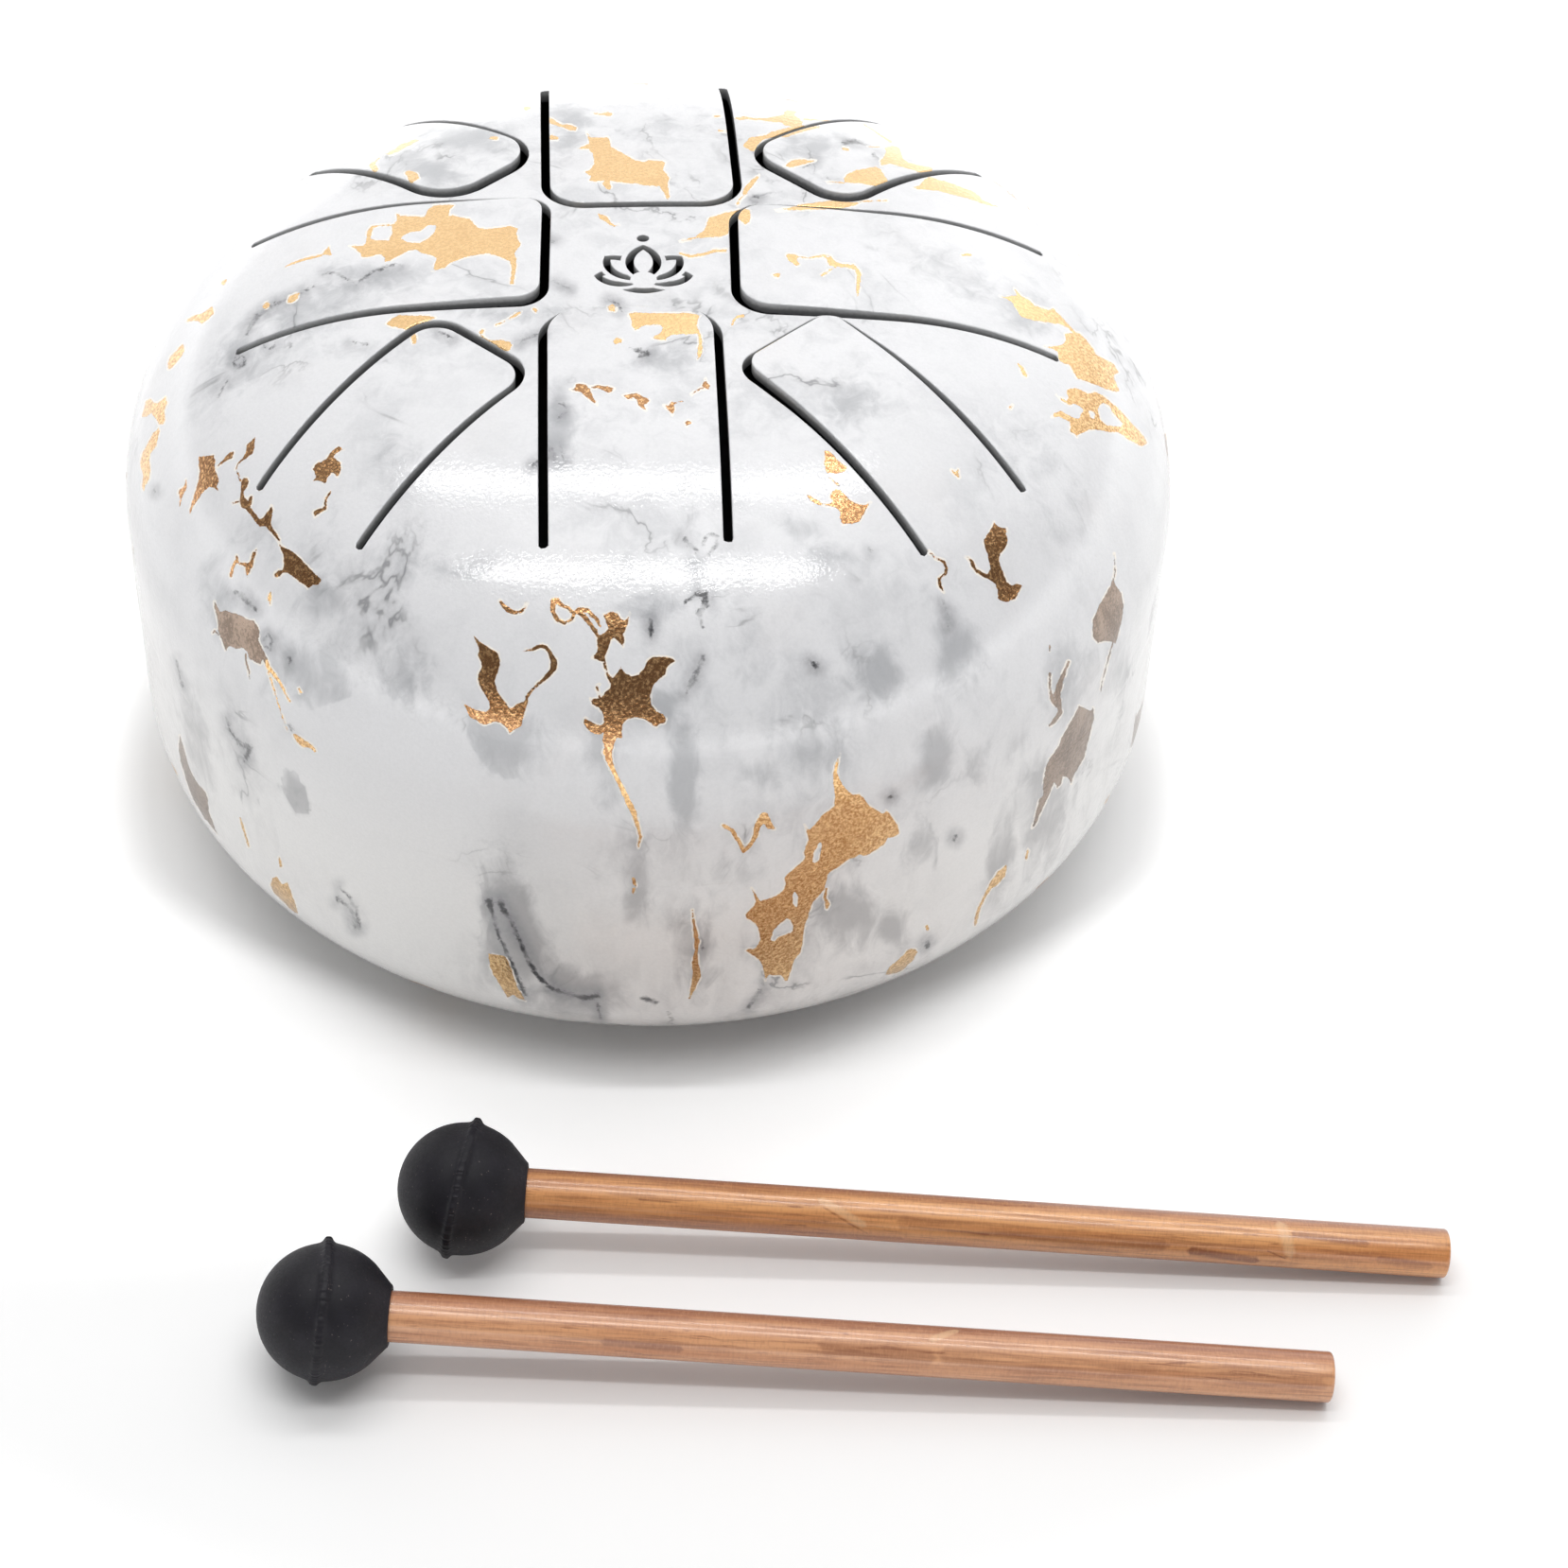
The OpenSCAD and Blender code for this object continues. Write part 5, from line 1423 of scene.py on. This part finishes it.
def lying(i):
    """Where mallet i lies, with its stick along its own +Z."""
    ridge_r, end = BALL_R + RIDGE_H, MALLET_L + STICK_PULLS[i] - BALL_R
    tilt = math.atan((ridge_r - STICK_R) / (end - RIDGE_W / 2))
    z = FLOOR_Z + ridge_r * math.cos(tilt) + RIDGE_W / 2 * math.sin(tilt)
    x, y = MALLET_X, -(DRUM_R + MALLET_GAP + BALL_R)
    pitch = 2 * BALL_R + MALLET_SPACING
    x -= i * (MALLET_STAGGER * math.cos(MALLET_HEADING) - pitch * math.sin(MALLET_HEADING))
    y -= i * (MALLET_STAGGER * math.sin(MALLET_HEADING) + pitch * math.cos(MALLET_HEADING))
    turns = (Matrix.Rotation(MALLET_HEADING, 4, "Z") @ Matrix.Rotation(tilt, 4, "Y")
             @ Matrix.Rotation(math.pi / 2, 4, "Y"))
    return Matrix.Translation(Vector((x, y, z)) * MM) @ turns


# The parting ridge of each ball: how it leans towards the ball's own X and Y, and its offset.
RIDGE_LEANS = ((-0.09, 0.14, -0.3), (-0.1, -0.046, -0.58))
# Nibs on the ridge: their direction in radians and how much they stand up.
RIDGE_NIBS, NIB_WIDTH = ((2.25, 0.26), (-0.98, 0.08)), 0.06
# Height in mm of the ridge, what it gains where the ball doesn't lie on it, and the swell under it.
RIDGE_LOW, RIDGE_GAIN, RIDGE_SWELL = 0.26, 0.14, 0.13
# By how many mm the ridge may stand higher than RIDGE_H where the ball doesn't lie on it.
MOST_GAIN = 0.6
# Half widths in mm of the ridge and the swell, what the ridge's gains off the floor, and how far it wanders.
RIDGE_HALF, SWELL_HALF, HALF_GAIN, RIDGE_WANDER = 0.5, 1.1, 0.12, 0.1
# By how many mm the ridge's height varies in long waves, in short ones and from point to point.
RIDGE_WAVES, RIDGE_RIPPLE, RIDGE_SPECKS = 0.07, 0.07, 0.09
# How far to each side of its lowest place, in radians, the ridge lies low, and over how much more it rises.
REST_HALF, REST_FADE = 0.45, 0.4
# How many mm the ridge keeps off the flat mouth, and over how many more it comes up.
MOUTH_CLEAR, MOUTH_FADE = 0.05, 3
# By which share of its radius a stick is out of round, and over how many mm along it that changes.
STICK_UNEVEN, STICK_WAVE = 0.004, 23
# How many mm a foot's moulding seam stands out.
FOOT_SEAM = 0.06
# Points round a ball, a stick, a foot or washer, and a screw or nut.
BALL_COUNT, SHAFT_COUNT, FOOT_COUNT, SCREW_COUNT = 320, 128, 96, 144
# Distance in mm between the rings of points along a screw's thread.
THREAD_STEP = 0.07


def rough_ring(seed, count, terms):
    """A smooth random line round a ring, from -1 to 1 or so."""
    rng = random.Random(seed)
    turns = np.arange(count) * 2 * math.pi / count
    line = sum(rng.uniform(-1, 1) * np.cos(k * turns + rng.uniform(0, 6.3)) for k in range(3, 3 + terms))
    return line / np.abs(line).max()


def make_ball(i, material):
    """A rubber ball with a flared mouth and a rough parting ridge that stands proud of it."""
    lean_x, lean_y, offset = RIDGE_LEANS[i]
    rough, fine, wander = (rough_ring(seed + i, BALL_COUNT, terms)
                           for seed, terms in ((10, 14), (20, 90), (30, 20)))
    specks = np.random.default_rng(5 + i).uniform(-1, 1, BALL_COUNT)

    def form(turns, r, z):
        middle = BALL_R * (lean_x * np.cos(turns) + lean_y * np.sin(turns)) + offset + RIDGE_WANDER * wander
        off = z - middle
        free = np.clip((np.abs(np.angle(np.exp(1j * turns))) - REST_HALF) / REST_FADE, 0, 1)
        high = (RIDGE_LOW + RIDGE_WAVES * rough + RIDGE_RIPPLE * fine + RIDGE_SPECKS * specks
                + RIDGE_GAIN * free)
        for nib, more in RIDGE_NIBS:
            high = high + more * np.exp(-(np.angle(np.exp(1j * (turns - nib))) / NIB_WIDTH) ** 4)
        rib = high / (1 + (np.abs(off) / (RIDGE_HALF + HALF_GAIN * free)) ** 5)
        swell = RIDGE_SWELL * np.exp(-(off / SWELL_HALF) ** 2)
        if r < MOUTH_R + MOUTH_CLEAR:
            return r, z
        most = RIDGE_H + MOST_GAIN * free
        return r + np.minimum(rib + swell, most) * min(1.0, (r - MOUTH_R - MOUTH_CLEAR) / MOUTH_FADE), z

    start = BALL_R * np.array([math.sin(FLANK_TURN), math.cos(FLANK_TURN)])
    lip, bore = np.array([MOUTH_R + 0.3, MOUTH_REACH - 0.25]), STICK_R + GLUE
    heights = np.r_[np.linspace(-8.6, -3.6, 20), np.linspace(-3.4, 3.4, 86), np.linspace(3.5, start[1], 14)]
    outline = [(0.001, -BALL_R), (0.9, -9.005), (1.8, -8.869)]
    outline += [(math.sqrt(BALL_R ** 2 - z * z), z) for z in heights]
    outline += [tuple(start + s * (lip - start)) for s in np.linspace(0, 1, 8)[1:-1]]
    outline += [tuple(lip), (MOUTH_R + 0.16, MOUTH_REACH - 0.08), (MOUTH_R - 0.05, MOUTH_REACH),
                (bore + 0.1, MOUTH_REACH - 0.02), (bore, MOUTH_REACH - 0.15), (bore, MOUTH_REACH - 5)]
    return turned("mallet_ball_%d" % (i + 1), outline, material, BALL_COUNT, form, 60)


def make_stick(i, material):
    """A sanded stick: its ends' edges are eased, and it isn't perfectly round."""
    end = MALLET_L + STICK_PULLS[i] - BALL_R
    start = MOUTH_REACH - SOCKET_H + GLUE + STICK_PULLS[i]
    ease = rough_ring(50 + i, SHAFT_COUNT, 5)
    outline = [(0.01, start), (STICK_R - 0.2, start), (STICK_R, start + 0.2)]
    outline += [(STICK_R, z) for z in np.linspace(start + 1, end - 0.5, 48)]
    outline += [(STICK_R - 0.03, end - 0.28), (STICK_R - 0.12, end - 0.12), (STICK_R - 0.3, end - 0.02),
                (STICK_R - 0.8, end), (0.01, end)]

    def form(turns, r, z):
        return r * (1 + STICK_UNEVEN * ease * math.sin(z / STICK_WAVE + i)), z

    return turned("mallet_shaft_%d" % (i + 1), outline, material, SHAFT_COUNT, form, 40)


def make_foot(k, material):
    """A rubber foot with eased edges and a recess for the screw's head."""
    seat = RECESS_H - FOOT_H
    outline = [(SCREW_HOLE_R, -0.02), (FOOT_R - 0.4, -0.02), (FOOT_R - 0.05, -0.15), (FOOT_R, -0.5)]
    fall = FOOT_H - 1.1
    outline += [(FOOT_R + (FOOT_TIP_R - FOOT_R) * t, -0.5 - fall * t)
                for t in (0.25, 0.48, 0.5, 0.52, 0.75, 1)]
    outline += [(FOOT_TIP_R - 0.15, -FOOT_H + 0.25), (FOOT_TIP_R - 0.55, -FOOT_H + 0.02),
                (FOOT_TIP_R - 1, -FOOT_H), (RECESS_R + 0.4, -FOOT_H), (RECESS_R + 0.1, -FOOT_H + 0.1),
                (RECESS_R, -FOOT_H + 0.4), (RECESS_R, seat), (SCREW_HOLE_R, seat)]

    def seamed(turns, r, z):
        return r + (FOOT_SEAM if abs(z + 0.5 + fall / 2) < 0.01 else 0), z

    return turned("rubber_foot_%d" % k, outline, material, FOOT_COUNT, seamed, 35)


def make_screw(k, material):
    """A pan-head screw with a cross recess and a thread."""
    seat = RECESS_H - FOOT_H
    base, tip = seat - HEAD_H, SHEET + WASHER_T + NUT_H + TAIL_H
    radii = np.linspace(0.01, HEAD_R - HEAD_BEVEL, 44)
    outline = [(r, base) for r in radii]
    outline += [(HEAD_R - HEAD_BEVEL * (1 - math.sin(t)), base + HEAD_BEVEL * (1 - math.cos(t)))
                for t in np.linspace(0.1, math.pi / 2, 8)]
    outline += [(HEAD_R, seat - 0.1), (HEAD_R - 0.1, seat), (SCREW_R, seat)]
    outline += [(SCREW_R, z) for z in np.arange(seat + 0.1, tip - THREAD_END, THREAD_STEP)]
    outline += [(SCREW_R - 0.35, tip), (0.01, tip)]

    def form(turns, r, z):
        if z == base:
            x, y = np.abs(r * np.cos(turns)), np.abs(r * np.sin(turns))
            x, y = np.maximum(x, y), np.minimum(x, y)
            depth = np.clip((CROSS_W / 2 - y) / 0.1, 0, 1) * np.clip((CROSS_L / 2 - x) / 0.45, 0, 1)
            return r, z + CROSS_H * depth
        if r == SCREW_R and z < tip - THREAD_END:
            phase = (z / THREAD_PITCH - turns / (2 * math.pi)) % 1
            return r - THREAD_DEPTH * (1 - np.abs(2 * phase - 1)), z
        return r, z

    return turned("pan_screw_%d" % k, outline, material, SCREW_COUNT, form, 28)


def make_washer(k, material):
    """A stamped washer, rounder at one face's edge than at the other's."""
    outline = [(SCREW_HOLE_R, 0.06), (SCREW_HOLE_R + 0.06, 0), (WASHER_R - 0.1, 0), (WASHER_R, 0.12),
               (WASHER_R, WASHER_T - 0.12), (WASHER_R - 0.12, WASHER_T), (SCREW_HOLE_R + 0.06, WASHER_T),
               (SCREW_HOLE_R, WASHER_T - 0.06), (SCREW_HOLE_R, 0.06)]
    return turned("steel_washer_%d" % k, [(r, z + SHEET) for r, z in outline], material, FOOT_COUNT, None, 35)


def make_nut(k, material):
    """A hexagon nut with both faces chamfered and a countersunk bore. The outline's points at the radius
    called flats stand for the flats."""
    base, half, flats = SHEET + WASHER_T, NUT_FLATS / 2, 9
    sink = 0.25
    outline = [(NUT_BORE_R, sink), (NUT_BORE_R + sink, 0), (half - 0.05, 0), (flats, 0), (flats, NUT_H),
               (half - 0.05, NUT_H), (NUT_BORE_R + sink, NUT_H), (NUT_BORE_R, NUT_H - sink),
               (NUT_BORE_R, sink)]

    def form(turns, r, z):
        if r < flats:
            return r, base + z
        hexagon = half / np.cos((turns % (math.pi / 3)) - math.pi / 6)
        fall = (hexagon - half) * NUT_CHAMFER
        return hexagon, base + (z + fall if z == 0 else z - fall)

    return turned("hex_nut_%d" % k, outline, material, SCREW_COUNT, form, 24)


# stage and light

# The floor's half side in metres, and how much it glows round the drum, further out and far away.
FLOOR_REACH = 4.0
HALO_GLOW, FLOOR_GLOW, FAR_GLOW = 0.31, 0.28, 0.6
# Distances in mm from the drum's axis between which each glow comes up, and the first goes out again.
HALO_START, HALO_END, FLOOR_START, FAR_START = (78.5, 89.5), (190, 110), (155, 190), (300, 1200)
# In front, between these places along Y, the glow starts closer to the drum, and it fades at the mallets.
FRONT_SHIFT, FRONT_FADE = (-26, -60, 0.0, 14.0), (-112, -86, 0.1, 1.0)
# Each lamp's place, the place that it is turned to and its size, in metres, and its power.
LAMPS = (("strip_back", (-0.03, 0.19, 0.88), (-0.03, 0.08, 0), (0.84, 0.05), 1.9),
         ("strip_front", (-0.03, -0.205, 0.88), (-0.03, -0.07, 0), (0.82, 0.045), 1.9),
         ("key", (0.75, 0.65, 1.0), (0, 0, 0), (1.6, 1.6), 4.2))
# The surround's strengths, and the parts of a direction's length along Y or Z between which each changes.
SKY_FRONT, SKY_BACK, SKY_TOP, SKY_LOW = 0.18, 1.07, 1.45, 2.85
BACK_SPAN, TOP_SPAN, LOW_SPAN = (0.0, 0.95), (0.84, 0.97), (0.2, 0.02)
LOW_BY_SIDE, LOW_BENEATH = (0.3, -0.8, 0.7, 1.15), (-0.2, -0.02, 0.15, 1.0)


def make_stage():
    """A white floor that keeps the shadows; seen or mirrored, it glows a little where a white table would."""
    mesh = bpy.data.meshes.new("floor")
    square = ((-1, -1), (1, -1), (1, 1), (-1, 1))
    corners = [(x * FLOOR_REACH, y * FLOOR_REACH, FLOOR_Z * MM) for x, y in square]
    mesh.from_pydata(corners, [], [(0, 1, 2, 3)])
    n = Material("white_floor")
    path = n.tree.nodes.new("ShaderNodeLightPath").outputs
    away = n.times(n.new("VectorMath", {0: n.coord}, 1, operation="LENGTH"), 1000)
    y = n.along("Y")
    halo = n.step(n.plus(away, n.step(y, *FRONT_SHIFT)), *HALO_START)
    halo = n.times(halo, n.step(away, *HALO_END), n.step(y, *FRONT_FADE))
    glow = n.plus(n.times(halo, path["Is Camera Ray"], HALO_GLOW),
                  n.step(away, *FLOOR_START, 0.01, FLOOR_GLOW), n.step(away, *FAR_START, 0.0, FAR_GLOW))
    strength = n.times(glow, n.most(path["Is Camera Ray"], path["Is Glossy Ray"]))
    mesh.materials.append(n.set(Base_Color=(0.94, 0.94, 0.94), Roughness=0.9, Specular_IOR_Level=0.0,
                                Emission_Color=(1, 1, 1), Emission_Strength=strength))
    new_object("floor", mesh)


def make_lamp(name, at, aim, size, power):
    data = bpy.data.lights.new(name, "AREA")
    data.shape, data.size, data.size_y, data.energy = "RECTANGLE", *size, power
    way = (Vector(aim) - Vector(at)).to_track_quat("-Z", "Y")
    new_object(name, data).matrix_world = Matrix.Translation(at) @ way.to_matrix().to_4x4()


def make_light():
    """Strip lights over the drum and a soft surround: white behind, low down and overhead, dark in front."""
    for lamp in LAMPS:
        make_lamp(*lamp)
    world = bpy.data.worlds.new("surround")
    bpy.context.scene.world = world
    world.use_nodes = True
    n = Nodes(world.node_tree, "Generated")
    back, up = (n.new("SeparateXYZ", {0: n.coord}, axis) for axis in (1, 2))
    behind = n.step(back, *BACK_SPAN, SKY_FRONT, SKY_BACK)
    above = n.step(up, *TOP_SPAN, 0.0, SKY_TOP)
    low = n.times(n.step(up, *LOW_SPAN, 0.0, SKY_LOW), n.step(back, *LOW_BY_SIDE), n.step(up, *LOW_BENEATH))
    seen = n.tree.nodes.new("ShaderNodeLightPath").outputs["Is Camera Ray"]
    surround = n.tree.nodes["Background"].inputs
    n.put(surround["Color"], (1.0, 1.0, 1.0))
    n.put(surround["Strength"], n.most(above, low, behind, seen))


# assembly

def dress(piece, body, node):
    """Lets a piece ride on its body, in place of a solid."""
    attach(piece, body)
    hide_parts(node)


make_camera()
make_stage()
make_light()
skins = [marble_lacquer(), cut_steel(), inside_primer()]
dress(make_upper_shell(skins), "drum", "upper_shell")
dress(make_lower_shell(skins), "drum", "lower_shell")
rubber = ball_rubber()
woods = ((amber_wood(), "stained_wood_amber"), (rose_wood(), "stained_wood_rose"))
for i, (wood, wood_slot) in enumerate(woods):
    ball, stick = make_ball(i, rubber), make_stick(i, wood)
    for piece in (ball, stick):
        piece.matrix_world = lying(i)
    dress(ball, "mallet_%d" % (i + 1), "mallet_head_%d" % (i + 1))
    dress(stick, "mallet_%d" % (i + 1), "mallet_stick_%d" % (i + 1))
black, zinc = foot_rubber(), zinc_steel()
foot_pieces = ((make_foot, black, "foot_rubber", "foot_%d"),
               (make_screw, zinc, "zinc_plated_steel", "foot_screw_%d"),
               (make_washer, zinc, "zinc_plated_steel", "foot_washer_%d"),
               (make_nut, zinc, "zinc_plated_steel", "foot_nut_%d"))
for k in (1, 2, 3):
    for make, material, slot, node in foot_pieces:
        piece = make(k, material)
        turn = Matrix.Rotation(math.radians(FOOT_TURN * k), 4, "Z")
        piece.matrix_world = Matrix.Translation(Vector((*foot_at(k - 1), 0)) * MM) @ turn
        dress(piece, "drum", node % k)

bpy.context.scene.view_settings.view_transform = "Standard"
